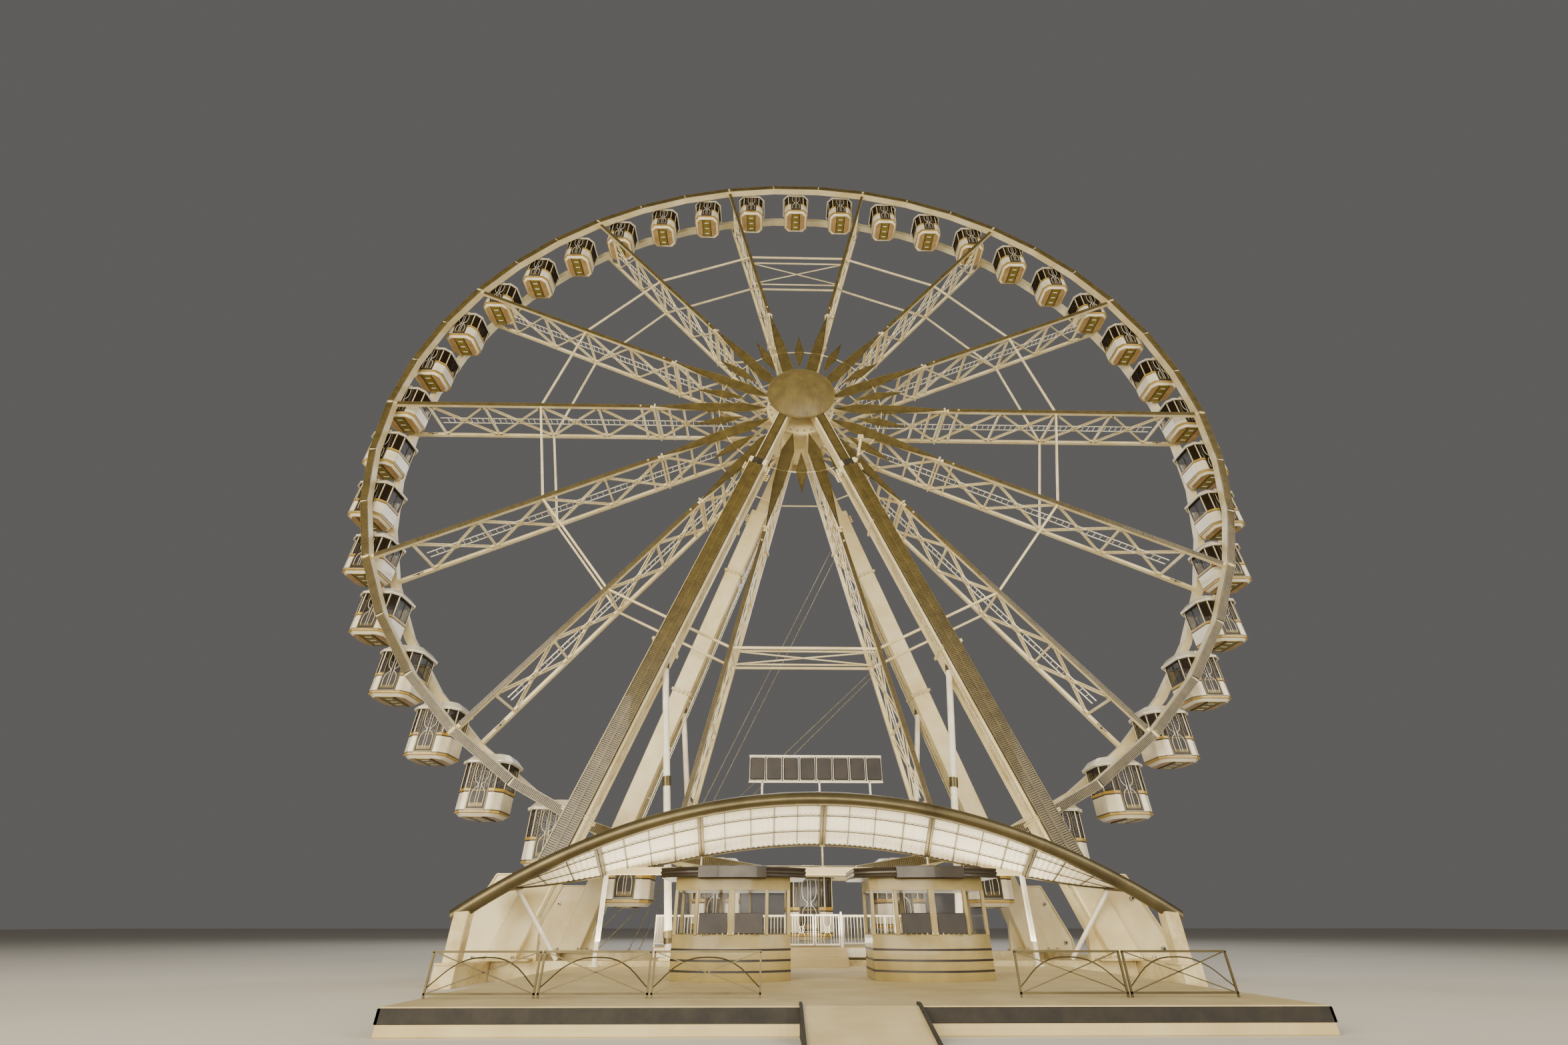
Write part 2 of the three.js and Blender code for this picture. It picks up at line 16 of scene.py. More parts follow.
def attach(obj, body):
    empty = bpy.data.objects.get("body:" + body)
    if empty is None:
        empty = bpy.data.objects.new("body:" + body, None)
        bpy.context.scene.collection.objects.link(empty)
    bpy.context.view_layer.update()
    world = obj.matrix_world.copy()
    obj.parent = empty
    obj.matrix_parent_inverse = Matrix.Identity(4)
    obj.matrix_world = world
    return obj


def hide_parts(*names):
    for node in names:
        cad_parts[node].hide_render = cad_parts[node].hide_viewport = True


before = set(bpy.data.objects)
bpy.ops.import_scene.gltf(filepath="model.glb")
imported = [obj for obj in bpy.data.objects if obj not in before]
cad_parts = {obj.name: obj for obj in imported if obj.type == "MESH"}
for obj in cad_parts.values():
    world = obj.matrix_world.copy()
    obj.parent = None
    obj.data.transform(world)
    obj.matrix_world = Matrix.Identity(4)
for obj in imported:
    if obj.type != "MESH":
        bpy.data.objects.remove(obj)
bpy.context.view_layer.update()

MODEL_SCALE = 0.5
HUB_HEIGHT = 31.5
HUB = (0, 0, HUB_HEIGHT)
SPOKES = 14
CABINS = 42
PIVOT_RADIUS = 27.8
RIM_PLANE = 1.55
BASE_TOP = 0.6
SEAM = 0.0006  # the hair's breadth left between two pieces that touch
TURN = 2 * math.pi
SPOKE_ANGLES = [(i + 0.5) * TURN / SPOKES for i in range(SPOKES)]
LENGTH_ANGLES = [i * TURN / CABINS for i in range(CABINS)]

# %% [markdown]
# ## Camera, floor and light
# The camera stands low and close, at the height of a person's eye, with a very wide lens looking up, so the
# wheel leans away. The light is a studio's: large soft panels in front and behind, a low one that reaches
# in under the canopy, and a narrow one that lights the roof from below, as its own lamps would.

# %% Camera
bpy.ops.object.camera_add(
    location=Vector((-1.739, -32.902, 1.771)) * MODEL_SCALE,
    rotation=(math.radians(90 + 33.071), 0, math.radians(-1.130)),
)
camera = bpy.context.object
camera.data.sensor_width = 36
camera.data.lens = 14.132
camera.data.clip_end = 500
bpy.context.scene.camera = camera
print("the lens is", camera.data.lens, "mm on a frame", camera.data.sensor_width, "mm wide")


# %% Lights
def add_panel_light(place, aim, size, watts, tint, depth=None):
    """A soft panel that faces a point, square unless it has a depth. The camera doesn't see it."""
    run = Vector(aim) - Vector(place)
    bpy.ops.object.light_add(type="AREA", location=place, rotation=run.to_track_quat("-Z", "Y").to_euler())
    bpy.context.object.visible_camera = False
    lamp = bpy.context.object.data
    lamp.shape = "RECTANGLE"
    lamp.size = size
    lamp.size_y = depth or size
    lamp.energy = watts
    lamp.color = tint


WHEEL_MIDDLE = (0, 0, HUB_HEIGHT * 0.8 * MODEL_SCALE)
add_panel_light((-16, -26, 10), WHEEL_MIDDLE, 16, 9500, (1.0, 0.91, 0.74))
add_panel_light((20, -22, 14), WHEEL_MIDDLE, 18, 5500, (1.0, 0.94, 0.84))
add_panel_light((0, 24, 26), WHEEL_MIDDLE, 20, 5000, (0.92, 0.95, 1.0))
add_panel_light((0, -27, 3.2), (0, -3.2, 2.4), 14, 2700, (1.0, 0.93, 0.78), 4)
add_panel_light((0, -2.7, 0.62), (0, -3.1, 5), 9, 260, (1.0, 0.92, 0.74), 0.7)
world = bpy.data.worlds.new("studio")
bpy.context.scene.world = world
world.use_nodes = True
world.node_tree.nodes["Background"].inputs["Color"].default_value = (0.12, 0.115, 0.11, 1)
print(len(bpy.data.lights), "lights")

# %% [markdown]
# ## Colours and finishes
# A colour is written as the hex value a painter would mix on screen, and one function turns it to the
# linear light that the shader works in. One small helper adds a node with its settings and its links.

# %% Colour and node helpers
def srgb(code):
    """A hex colour as linear RGBA."""
    parts = [int(code[i:i + 2], 16) / 255 for i in (1, 3, 5)]
    return (*[p / 12.92 if p <= 0.04045 else ((p + 0.055) / 1.055) ** 2.4 for p in parts], 1)


def add_node(tree, kind, inputs, **settings):
    """A new node. An input is given a value, or another node's output to link."""
    new = tree.nodes.new(kind)
    for name, value in settings.items():
        setattr(new, name, value)
    for name, value in inputs.items():
        if isinstance(value, bpy.types.NodeSocket):
            tree.links.new(value, new.inputs[name])
        else:
            new.inputs[name].default_value = value
    return new


# a colour Mix has sockets of the same name for each kind of data, so its own are told by number
FACTOR, TONE_A, TONE_B, MIXED = 0, 6, 7, 2


def start_material(name, **shader):
    """A material whose shader's own sockets are set, with its tree, its shader and its coordinates."""
    material = bpy.data.materials.new(name)
    material.use_nodes = True
    tree = material.node_tree
    principled = tree.nodes["Principled BSDF"]
    for socket, value in shader.items():
        principled.inputs[socket.replace("_", " ")].default_value = value
    place = add_node(tree, "ShaderNodeTexCoord", {}).outputs["Object"]
    return material, tree, principled, place


# %% [markdown]
# Most surfaces here are one paint or plastic that has weathered a little: two close tones in soft patches,
# a gloss that isn't even, and a fine grain. One function makes them all. The patches and the grain are
# given in millimetres of the model, and both are coarser than the real ones, which the camera is too far
# away to show.

# %% A weathered finish
def mottled(name, light, dark, patch, grain, rough, bump, **shader):
    """A finish of two close tones, with an uneven gloss and a fine relief."""
    material, tree, principled, place = start_material(name, **shader)
    patches = add_node(tree, "ShaderNodeTexNoise", {"Vector": place, "Scale": 1000 / patch, "Detail": 5.0,
                                                    "Roughness": 0.62}).outputs["Fac"]
    spread = add_node(tree, "ShaderNodeMapRange", {"Value": patches, "From Min": 0.35, "From Max": 0.68})
    tone = add_node(tree, "ShaderNodeMix", {FACTOR: spread.outputs["Result"], TONE_A: srgb(light),
                                            TONE_B: srgb(dark)}, data_type="RGBA")
    tree.links.new(tone.outputs[MIXED], principled.inputs["Base Color"])
    gloss = add_node(tree, "ShaderNodeMapRange",
                     {"Value": patches, "To Min": rough - 0.08, "To Max": rough + 0.1})
    tree.links.new(gloss.outputs["Result"], principled.inputs["Roughness"])
    fine = add_node(tree, "ShaderNodeTexNoise", {"Vector": place, "Scale": 1000 / grain, "Detail": 3.0})
    relief = add_node(tree, "ShaderNodeBump", {"Height": fine.outputs["Fac"], "Strength": bump,
                                               "Distance": 0.004})
    tree.links.new(relief.outputs["Normal"], principled.inputs["Normal"])
    return material


# %% Paints, plastics and metals
# enamel sprayed on in the works: an even satin under a thin coat, dusty in broad patches
ivory_enamel = mottled("ivory_enamel", "#efe2b8", "#d9c48c", 900, 9, 0.42, 0.12, Coat_Weight=0.15)
# the same enamel on the beams, scuffed dull and browner by years of fairs
beam_enamel = mottled("worn_beam_enamel", "#e2d3a4", "#b39c66", 420, 7, 0.55, 0.2)
# moulded plastic over unlit lamps: olive-brown with a soft shine
lamp_cover = mottled("olive_lamp_cover", "#6d5e31", "#534620", 260, 6, 0.38, 0.15, Coat_Weight=0.3)
# plastic formed as one large dish: a browner gold, nearly matt
cover_brown = mottled("gold_brown_cover_plastic", "#776838", "#5a4c27", 420, 7, 0.5, 0.12, Coat_Weight=0.08)
# folded and painted sheet: dark and matt, so that the ribs stand out from it
lamp_tray = mottled("brown_lamp_tray", "#383222", "#282317", 300, 8, 0.5, 0.15)
# gel-coated glass fibre: pale, smooth and glossy
fibre_white = mottled("cream_glass_fibre", "#f4ecd6", "#e2d7b6", 500, 10, 0.3, 0.06, Coat_Weight=0.4)
# gloss paint on the trims: yellower than anything near it
gold_trim = mottled("golden_trim_paint", "#c9a648", "#a07f2e", 350, 8, 0.38, 0.1, Coat_Weight=0.2)
# rolled and lacquered strip: a dull gold, a little metallic
slot_gold = mottled("gold_slotted_strip", "#948034", "#746324", 200, 6, 0.4, 0.12, Metallic=0.3)
# orange laminate lining, with a faint glow painted on as the light of the cabin's own lamp, so it glows in
# the shade too
orange_lining_lamp_glow = mottled("orange_laminate_painted_lamp_glow", "#e79a2c", "#c67716", 300, 5, 0.45, 0.15,
                        Emission_Color=srgb("#e08a20"), Emission_Strength=0.4)
# lacquered board under the floor: warm and half glossy
keel_lacquer = mottled("orange_brown_floor_lacquer", "#b8975e", "#977742", 300, 6, 0.35, 0.12,
                       Coat_Weight=0.3)
# anodised aluminium: smooth, even and clearly metallic
bronze_paint = mottled("bronze_anodised_aluminium", "#6a5f40", "#4e442b", 700, 5, 0.34, 0.06, Metallic=0.6)
# enamel on thin rails: the whitest of the paints
white_rail = mottled("white_rail_enamel", "#f6f1e2", "#ddd2b4", 500, 8, 0.35, 0.08, Coat_Weight=0.2)
# dipped in zinc: a grey metal in small clouds, which are nearer 10 mm on real steel
galvanised = mottled("galvanised_steel", "#b9b29c", "#8f8871", 90, 4, 0.42, 0.15, Metallic=0.85)
# paint rolled on panels: an olive gold with little shine, both tones darkened further as painted shade on the
# booths
booth_paint_and_shade = mottled("olive_gold_paint_and_painted_shade", "#9d8b55", "#82713f", 600, 8, 0.4, 0.08, Coat_Weight=0.12)
# lacquered bronze sheet: very dark, with broad soft reflections
dark_bronze = mottled("dark_lacquered_bronze", "#3a3020", "#292216", 240, 30, 0.36, 0.03,
                      Metallic=0.2, Coat_Weight=0.12)
# lacquered board: near black, with a faint sheen
dark_board = mottled("dark_board_lacquer", "#2c2116", "#1b140c", 300, 5, 0.45, 0.1)
# extruded rubber: matt, with a coarse grain
rubber_edge = mottled("black_rubber_edge", "#2b2519", "#1a160f", 200, 4, 0.7, 0.25)
# embossed vinyl: matt cream with a leathery grain
bench_vinyl = mottled("cream_bench_vinyl", "#d8c391", "#b99c5c", 220, 3, 0.5, 0.2)


# %% [markdown]
# Three finishes need a pattern of their own. Window glass lets what is behind it show through everywhere
# alike, so its alpha is one number. Tread plate has rows of small raised lozenges, 45 mm apart on the model
# so that they show. The roof's plastic is milky and faintly streaked where rain runs down its flutes.

# %% Glass, tread plate and roof sheet
def tinted_glass_material():
    """Brown window glass, smooth and thin."""
    material, tree, principled, place = start_material("bronze_window_glass", Roughness=0.06, Alpha=0.17,
                                                       IOR=1.5)
    rain = add_node(tree, "ShaderNodeTexNoise", {"Vector": place, "Scale": 5.0, "Detail": 4.0})
    tone = add_node(tree, "ShaderNodeMix", {FACTOR: rain.outputs["Fac"], TONE_A: srgb("#2b200f"),
                                            TONE_B: srgb("#4a3819")}, data_type="RGBA")
    tree.links.new(tone.outputs[MIXED], principled.inputs["Base Color"])
    return material


def deck_material():
    """Rolled steel tread plate under dusty tan paint."""
    material, tree, principled, place = start_material("tan_tread_plate", Roughness=0.6)
    turned = add_node(tree, "ShaderNodeMapping", {"Vector": place, "Rotation": (0, 0, math.radians(45))})
    checks = add_node(tree, "ShaderNodeTexVoronoi", {"Vector": turned.outputs["Vector"], "Scale": 22.0,
                                                     "Randomness": 0.0})
    dirt = add_node(tree, "ShaderNodeTexNoise", {"Vector": place, "Scale": 1.7, "Detail": 6.0})
    tone = add_node(tree, "ShaderNodeMix", {FACTOR: dirt.outputs["Fac"], TONE_A: srgb("#d9c896"),
                                            TONE_B: srgb("#a38d5a")}, data_type="RGBA")
    tree.links.new(tone.outputs[MIXED], principled.inputs["Base Color"])
    relief = add_node(tree, "ShaderNodeBump", {"Height": checks.outputs["Distance"], "Strength": 0.35,
                                               "Distance": 0.01})
    tree.links.new(relief.outputs["Normal"], principled.inputs["Normal"])
    return material


def roof_material():
    """Extruded polycarbonate sheet, cream and half glossy."""
    material, tree, principled, place = start_material("cream_polycarbonate_sheet", Roughness=0.4,
                                                       Coat_Weight=0.2)
    stretched = add_node(tree, "ShaderNodeMapping", {"Vector": place, "Scale": (14.0, 1.2, 1.2)})
    streaks = add_node(tree, "ShaderNodeTexNoise", {"Vector": stretched.outputs["Vector"], "Scale": 1.0,
                                                    "Detail": 4.0})
    tone = add_node(tree, "ShaderNodeMix", {FACTOR: streaks.outputs["Fac"], TONE_A: srgb("#fffaea"),
                                            TONE_B: srgb("#eddfb6")}, data_type="RGBA")
    tree.links.new(tone.outputs[MIXED], principled.inputs["Base Color"])
    return material


window_glass = tinted_glass_material()
tread_plate = deck_material()
roof_sheet = roof_material()
print(len(bpy.data.materials), "materials")

# %% [markdown]
# ## Tools for shaping
# Each helper does what a hand would: add a primitive at its size and place, then bevel, extrude or spin it.
# The rest is deselected first, because an operator acts on all that is selected.

# %% Selecting and edit mode
def only(*objects):
    """Selects these objects and no others."""
    bpy.ops.object.select_all(action="DESELECT")
    for obj in objects:
        obj.select_set(True)
    bpy.context.view_layer.objects.active = objects[0]


@contextmanager
def editing(obj):
    """Edit mode, with the whole of one piece selected."""
    only(obj)
    bpy.ops.object.mode_set(mode="EDIT")
    bpy.ops.mesh.select_all(action="SELECT")
    yield
    bpy.ops.object.mode_set(mode="OBJECT")


# %% [markdown]
# Most of the wheel is straight steel. A block is given by its span along X, Y and Z. A span is a pair of
# ends, or one number, which is half a width about the middle. Slanted members are blocks and cylinders made
# upright, and then laid along their line.

# %% Blocks, bars and rods
X_AXIS, Y_AXIS, Z_AXIS = Vector((1, 0, 0)), Vector((0, 1, 0)), Vector((0, 0, 1))


def span(ends):
    """The lower and the upper end of a span."""
    return sorted(ends) if isinstance(ends, tuple) else [-ends, ends]


def around(middle, half):
    """A span of this half width about a place."""
    return middle - half, middle + half


def block(x, y, z, material, bevel=0.0):
    """A cube stretched to three spans, with its edges bevelled."""
    low, high = [Vector(corner) for corner in zip(span(x), span(y), span(z))]
    bpy.ops.object.select_all(action="DESELECT")
    bpy.ops.mesh.primitive_cube_add(size=1, location=(low + high) / 2)
    obj = bpy.context.object
    obj.scale = high - low
    bpy.ops.object.transform_apply(location=True, rotation=True, scale=True)
    if bevel:
        with editing(obj):
            bpy.ops.mesh.bevel(offset=bevel, segments=1)
    obj.data.materials.append(material)
    return obj


def put(obj, place):
    """A piece whose mesh is moved, turned or mirrored by a matrix."""
    obj.data.transform(place)
    return obj


def shift(x, y, z):
    """The matrix that moves a piece by this much."""
    return Matrix.Translation((x, y, z))


def along(start, end, side=Y_AXIS):
    """The frame of a member: its origin at start, Z along it, and Y as near as can be to side."""
    z = (Vector(end) - Vector(start)).normalized()
    x = side.cross(z).normalized()
    turn = Matrix((x, z.cross(x), z)).transposed().to_4x4()
    return Matrix.Translation(Vector(start)) @ turn


def bar(start, end, width, depth, material, bevel=0.0, side=Y_AXIS):
    """A straight member of box section between two points."""
    length = (Vector(end) - Vector(start)).length
    return put(block(width / 2, depth / 2, (0, length), material, bevel), along(start, end, side))


def rod(start, end, radius, material, sides=8):
    """A round member between two points."""
    run = Vector(end) - Vector(start)
    bpy.ops.object.select_all(action="DESELECT")
    bpy.ops.mesh.primitive_cylinder_add(vertices=sides, radius=radius, depth=run.length)
    obj = bpy.context.object
    obj.data.materials.append(material)
    side = Y_AXIS if abs(run.normalized().y) < 0.9 else X_AXIS
    return put(obj, along(start, end, side) @ shift(0, 0, run.length / 2))


# %% [markdown]
# What repeats is made once. A straight row is an Array modifier, and copies round the hub or across the
# middle are twins, each with its own mesh. A mirrored twin would be inside out, so its faces are flipped.

# %% Rows, twins and joined pieces
def repeat(obj, count, step):
    """A row of copies, one step apart."""
    only(obj)
    row = obj.modifiers.new("row", "ARRAY")
    row.count = count
    row.use_relative_offset = False
    row.use_constant_offset = True
    row.constant_offset_displace = step
    bpy.ops.object.modifier_apply(modifier=row.name)
    return obj


def join(parts):
    """Several objects made one."""
    only(*parts)
    if len(parts) > 1:
        bpy.ops.object.join()
    return bpy.context.view_layer.objects.active


def twin_of(obj, place=Matrix()):
    """A copy with a mesh of its own, moved, turned or mirrored by a matrix."""
    twin = obj.copy()
    twin.data = obj.data.copy()
    bpy.context.scene.collection.objects.link(twin)
    if place.determinant() < 0:
        twin.data.flip_normals()
    return put(twin, place)


def copies(obj, places):
    """Twins of a piece at these places, made one. The first is spent."""
    made = [twin_of(obj, place) for place in places]
    bpy.data.objects.remove(obj)
    return join(made)


# %% [markdown]
# A finished piece is shaded smooth except at its sharp edges, moved from the real wheel's size to the
# model's, and put on the body that carries it. It also hides the CAD nodes that it stands for.

# %% Finishing a piece
def settle(obj, name, body, stands_for=(), about=(0, 0, 0), smooth=35):
    """A piece shaded, brought to the model's size and place, named and put on its body."""
    only(obj)
    bpy.ops.object.shade_smooth_by_angle(angle=math.radians(smooth))
    put(obj, Matrix.Scale(MODEL_SCALE, 4) @ Matrix.Translation(Vector(about)))
    obj.name = name
    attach(obj, body)
    if stands_for:
        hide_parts(*stands_for)
    print(name, len(obj.data.polygons), "faces")
    return obj


def settle_round(obj, angles, name, stands_for=()):
    """A piece made at the top of the wheel, copied round the hub by these angles and put on the wheel."""
    turned = copies(obj, [Matrix.Rotation(angle, 4, "Y") for angle in angles])
    return settle(turned, name, "wheel", stands_for, HUB)


# %% [markdown]
# ## Spokes
# Each spoke is a flat lattice girder that stands edge on to the front: a chord in each rim plane, struts
# between, and pairs of thin crossed diagonals, one on each face. A white ladder runs up the middle. One is
# made standing on the hub and then copied round.

# %% One girder
PANEL_NODES = (2.2, 6.1, 10.0, 13.9, 17.8, 21.7, 25.5)
SPLICE = PANEL_NODES[2]
TRUSS_START, TRUSS_END = 2.07, 25.565
CHORD = 0.26
CHORD_INSIDE = RIM_PLANE - CHORD / 2
CHORD_OUTSIDE = RIM_PLANE + CHORD / 2
GIRDER_HALF = 0.1


def girder(nodes, start, end):
    """Chords, struts, gusset plates and doubled diagonals between two radii."""
    parts = []
    for side in (-1, 1):
        y = side * RIM_PLANE
        parts.append(block(GIRDER_HALF, around(y, CHORD / 2), (start, end), ivory_enamel, 0.02))
        for node in nodes:
            parts.append(block(GIRDER_HALF - 0.01, (side * (CHORD_INSIDE - 0.2), y),
                               (max(start, node - 0.3), min(end, node + 0.3)), ivory_enamel, 0.05))
    for low, high in zip(nodes, nodes[1:]):
        for face in (-0.065, 0.065):
            for hand in (-1, 1):
                parts.append(bar((face, -hand * CHORD_INSIDE, low + 0.1),
                                 (face, hand * CHORD_INSIDE, high - 0.1), 0.05, 0.08, ivory_enamel))
    for node in nodes:
        parts.append(block(0.085, CHORD_INSIDE, (node - 0.06, min(end, node + 0.06)), ivory_enamel, 0.015))
    return join(parts)


settle_round(girder((2.2, 6.1, 9.9), TRUSS_START, SPLICE - SEAM), SPOKE_ANGLES, "inner_spokes",
             ["hub_and_inner_spokes"])
settle_round(girder((10.1, *PANEL_NODES[3:]), SPLICE + SEAM, TRUSS_END - SEAM), SPOKE_ANGLES, "outer_spokes",
             ["outer_spokes_and_ties"])


# %% Its ladder
def ladder(start, end, half, rung, step):
    """Two stiles and their rungs, in the girder's middle plane."""
    stiles = [block(0.025, around(side * half, 0.02), (start, end), white_rail) for side in (-1, 1)]
    first = block(rung, half, (start + 0.1, start + 0.1 + 2 * rung), white_rail)
    return join([*stiles, repeat(first, int((end - start - 0.2) / step) + 1, (0, 0, step))])


settle_round(ladder(2.6, 25.2, 0.24, 0.018, 0.4), SPOKE_ANGLES, "spoke_ladders")

# %% [markdown]
# Where the two halves of a spoke meet, end plates are bolted face to face, with posts across the girder
# near by. The rim's own pieces are bolted together at each spoke, through flanges that stand a little proud
# all round.

# %% Splices
def splice():
    """The bolted plates of a girder's joint, the posts near it, and the small lugs outside its chords."""
    parts = []
    for offset in (-1.95, -0.95, 0.95):
        height = around(SPLICE + offset, 0.06)
        parts += [block(0.1, CHORD_INSIDE, height, ivory_enamel, 0.015),
                  block(0.05, (CHORD_OUTSIDE - 0.02, CHORD_OUTSIDE + 0.1), height, ivory_enamel, 0.015)]
    parts.append(block(0.05, (-CHORD_OUTSIDE - 0.1, -CHORD_OUTSIDE + 0.02), around(SPLICE + 0.95, 0.06),
                       ivory_enamel, 0.015))
    for side in (-1, 1):
        y = side * RIM_PLANE
        parts.append(block(0.19, (y - 0.2, y + 0.16), around(SPLICE, 0.05), ivory_enamel, 0.01))
        for x in (-0.145, 0.145):
            parts.append(rod((x, y, SPLICE - 0.1), (x, y, SPLICE + 0.1), 0.03, galvanised, 6))
    return join(parts)


settle_round(splice(), SPOKE_ANGLES, "spoke_splices")


# %% Rim joints
def rim_joint():
    """The flange pairs of both rims at a spoke, with a lug outside, and a pipe clamped to the rear chord."""
    parts = []
    for side in (-1, 1):
        y = side * RIM_PLANE
        for low in (-0.09, 0.03):
            parts.append(block((low, low + 0.06), around(y, 0.28), (27.64, 28.12), ivory_enamel, 0.01))
        parts.append(block(0.16, around(y, 0.1), (28.05, 28.1), rubber_edge, 0.01))
        for x in (-0.2, 0.2):
            parts.append(rod((x, y + side * 0.25, 27.86), (x, y + side * 0.29, 27.86), 0.05, galvanised, 6))
    pipe_y = CHORD_INSIDE - 0.06
    parts += [rod((0, pipe_y, 26.15), (0, pipe_y, 26.75), 0.055, galvanised, 10),
              block(0.08, (pipe_y - 0.03, pipe_y + 0.07), (26.4, 26.5), rubber_edge, 0.01)]
    return join(parts)


settle_round(rim_joint(), SPOKE_ANGLES, "rim_joints")

# %% [markdown]
# ## Tie bars
# Light bars join each spoke to the next, in both rim planes. In the top and bottom bays a second frame with
# a cross stiffens the wheel sideways, fixed to the struts of the two spokes.

# %% Tie bars
TIE_RADIUS = PANEL_NODES[4]
CROSS_FRAME_Y = 1.03


def on_spoke(angle, radius, y):
    """A point of the wheel, by its angle from the top, its radius and its depth."""
    return Vector((radius * math.sin(angle), y, radius * math.cos(angle)))


def tie_bars():
    """The ring of bars in each rim plane, and the two cross frames."""
    parts = []
    step = TURN / SPOKES
    for angle in SPOKE_ANGLES:
        for y in (-RIM_PLANE, RIM_PLANE):
            parts.append(bar(on_spoke(angle, TIE_RADIUS, y), on_spoke(angle + step, TIE_RADIUS, y),
                             0.13, 0.13, ivory_enamel, 0.02))
    for angle in (-step / 2, math.pi - step / 2):
        corners = {(hand, row): on_spoke(angle + hand * step, TIE_RADIUS - 0.02, row * CROSS_FRAME_Y)
                   for hand in (0, 1) for row in (-1, 1)}
        for row in (-1, 1):
            parts += [bar(corners[0, row], corners[1, row], 0.09, 0.09, ivory_enamel, 0.015),
                      bar(corners[0, row], corners[1, -row], 0.07, 0.07, ivory_enamel, 0.01, Z_AXIS)]
    return join(parts)


settle(tie_bars(), "tie_bars", "wheel", ["outer_spokes_and_ties"], HUB)

# %% [markdown]
# ## Hub
# The hub is a turned barrel with two wide flanges that the spokes are bolted to. A profile is drawn and
# spun once round the axle. The spin leaves doubled points where it closes, so they are merged and the faces
# turned outwards.

# %% Faces from corners, and spinning
def disc(corners):
    """A flat face with these corners, made from a circle whose points are then put in place."""
    bpy.ops.object.select_all(action="DESELECT")
    bpy.ops.mesh.primitive_circle_add(vertices=len(corners), fill_type="NGON")
    obj = bpy.context.object
    for vertex, corner in zip(obj.data.vertices, corners):
        vertex.co = corner
    return obj


def closed(obj, material):
    """A shape with its doubled points merged and every face turned outwards, in its finish."""
    with editing(obj):
        bpy.ops.mesh.remove_doubles(threshold=1e-4)
        bpy.ops.mesh.normals_make_consistent(inside=False)
    obj.data.materials.append(material)
    return obj


def spun(profile, steps, material):
    """A closed profile of (radius, y), spun about the Y axis."""
    obj = disc([(radius, y, 0) for radius, y in profile])
    with editing(obj):
        bpy.ops.mesh.delete(type="ONLY_FACE")
        bpy.ops.mesh.select_all(action="SELECT")
        bpy.ops.mesh.spin(steps=steps, angle=TURN, center=(0, 0, 0), axis=(0, 1, 0))
    return closed(obj, material)


# %% Hub
HALF_BARREL = [(1.1, 1.34), (1.16, 1.4), (2.26, 1.4), (2.3, 1.44), (2.3, 1.66), (2.26, 1.7), (0.8, 1.7),
               (0.8, 1.87), (0.77, 1.9), (0.4505, 1.9)]
FLANGE_BOLTS = 28


def hub():
    """The barrel with its two flanges and their bolts."""
    profile = [*[(radius, -y) for radius, y in reversed(HALF_BARREL)], *HALF_BARREL]
    parts = [spun(profile, 56, ivory_enamel)]
    for side in (-1, 1):
        for i in range(FLANGE_BOLTS):
            place = on_spoke((i + 0.5) * TURN / FLANGE_BOLTS, 2.08, side * 1.7)
            parts.append(rod(place, place + side * 0.06 * Y_AXIS, 0.05, galvanised, 6))
    return join(parts)


settle(hub(), "hub", "wheel", ["hub_and_inner_spokes"], HUB)

# %% [markdown]
# ## Rims and their light strips
# Each rim is 42 straight box lengths. The front one and the outer part of each spoke carry dark trays of
# olive-brown lamp ribs, with lips of the same colour. One rib is made, repeated along its tray, and the
# tray is copied round.

# %% Light strips
RIB_PITCH = 0.085


def light_tray(half_length, half_width, thickness, lip):
    """A tray lying in X-Z that faces -Y from y = 0: its floor, two lips and a row of fine ribs."""
    parts = [block(half_length, (-thickness * 0.3, 0), half_width, lamp_tray)]
    for side in (-1, 1):
        parts.append(block(half_length, (-thickness, 0), around(side * (half_width - 0.02), 0.02), lip))
    count = int((2 * half_length - 0.06) / RIB_PITCH)
    start = -(count - 1) * RIB_PITCH / 2
    rib = block(around(start, 0.028), (-thickness * 0.85, 0), half_width - 0.05, lamp_cover)
    return join([*parts, repeat(rib, count, (RIB_PITCH, 0, 0))])


def upright_tray(x, y, low, high, half_width, thickness, lip):
    """A light tray stood on end between two heights."""
    tray = light_tray((high - low) / 2, half_width, thickness, lip)
    return put(tray, shift(x, y, (low + high) / 2) @ Matrix.Rotation(-math.pi / 2, 4, "Y"))


rim_tray = put(light_tray(2.04, 0.2, 0.06, lamp_cover), shift(0, -RIM_PLANE - 0.25, PIVOT_RADIUS))
settle_round(rim_tray, LENGTH_ANGLES, "rim_light_strip")
chord_tray = upright_tray(0, -CHORD_OUTSIDE, 10.3, 27.5, 0.11, 0.05, lamp_cover)
settle_round(chord_tray, SPOKE_ANGLES, "spoke_light_strips")


# %% A finish for the CAD nodes that stay
def dress(node, material):
    """A CAD node gets its finish."""
    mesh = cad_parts[node].data
    mesh.materials.clear()
    mesh.materials.append(material)


dress("front_rim", ivory_enamel)
dress("rear_rim", ivory_enamel)

# %% [markdown]
# ## Leaves and diamonds
# A long leaf-shaped light panel lies on the inner half of each spoke, and a short one between each two,
# held by a ring of rods. Their outlines are straight-edged, and their faces are lengthwise ribs with a thin
# dull gold edge.

# %% Plates and tubes
def extruded(corners, run, material):
    """A flat face with these corners, extruded along a run."""
    obj = disc(corners)
    with editing(obj):
        bpy.ops.mesh.extrude_region_move(TRANSFORM_OT_translate={"value": run})
    return closed(obj, material)


def plate(outline, y, material):
    """An outline drawn in X-Z, extruded over a span of Y."""
    low, high = span(y)
    return extruded([(x, low, z) for x, z in outline], (0, high - low, 0), material)


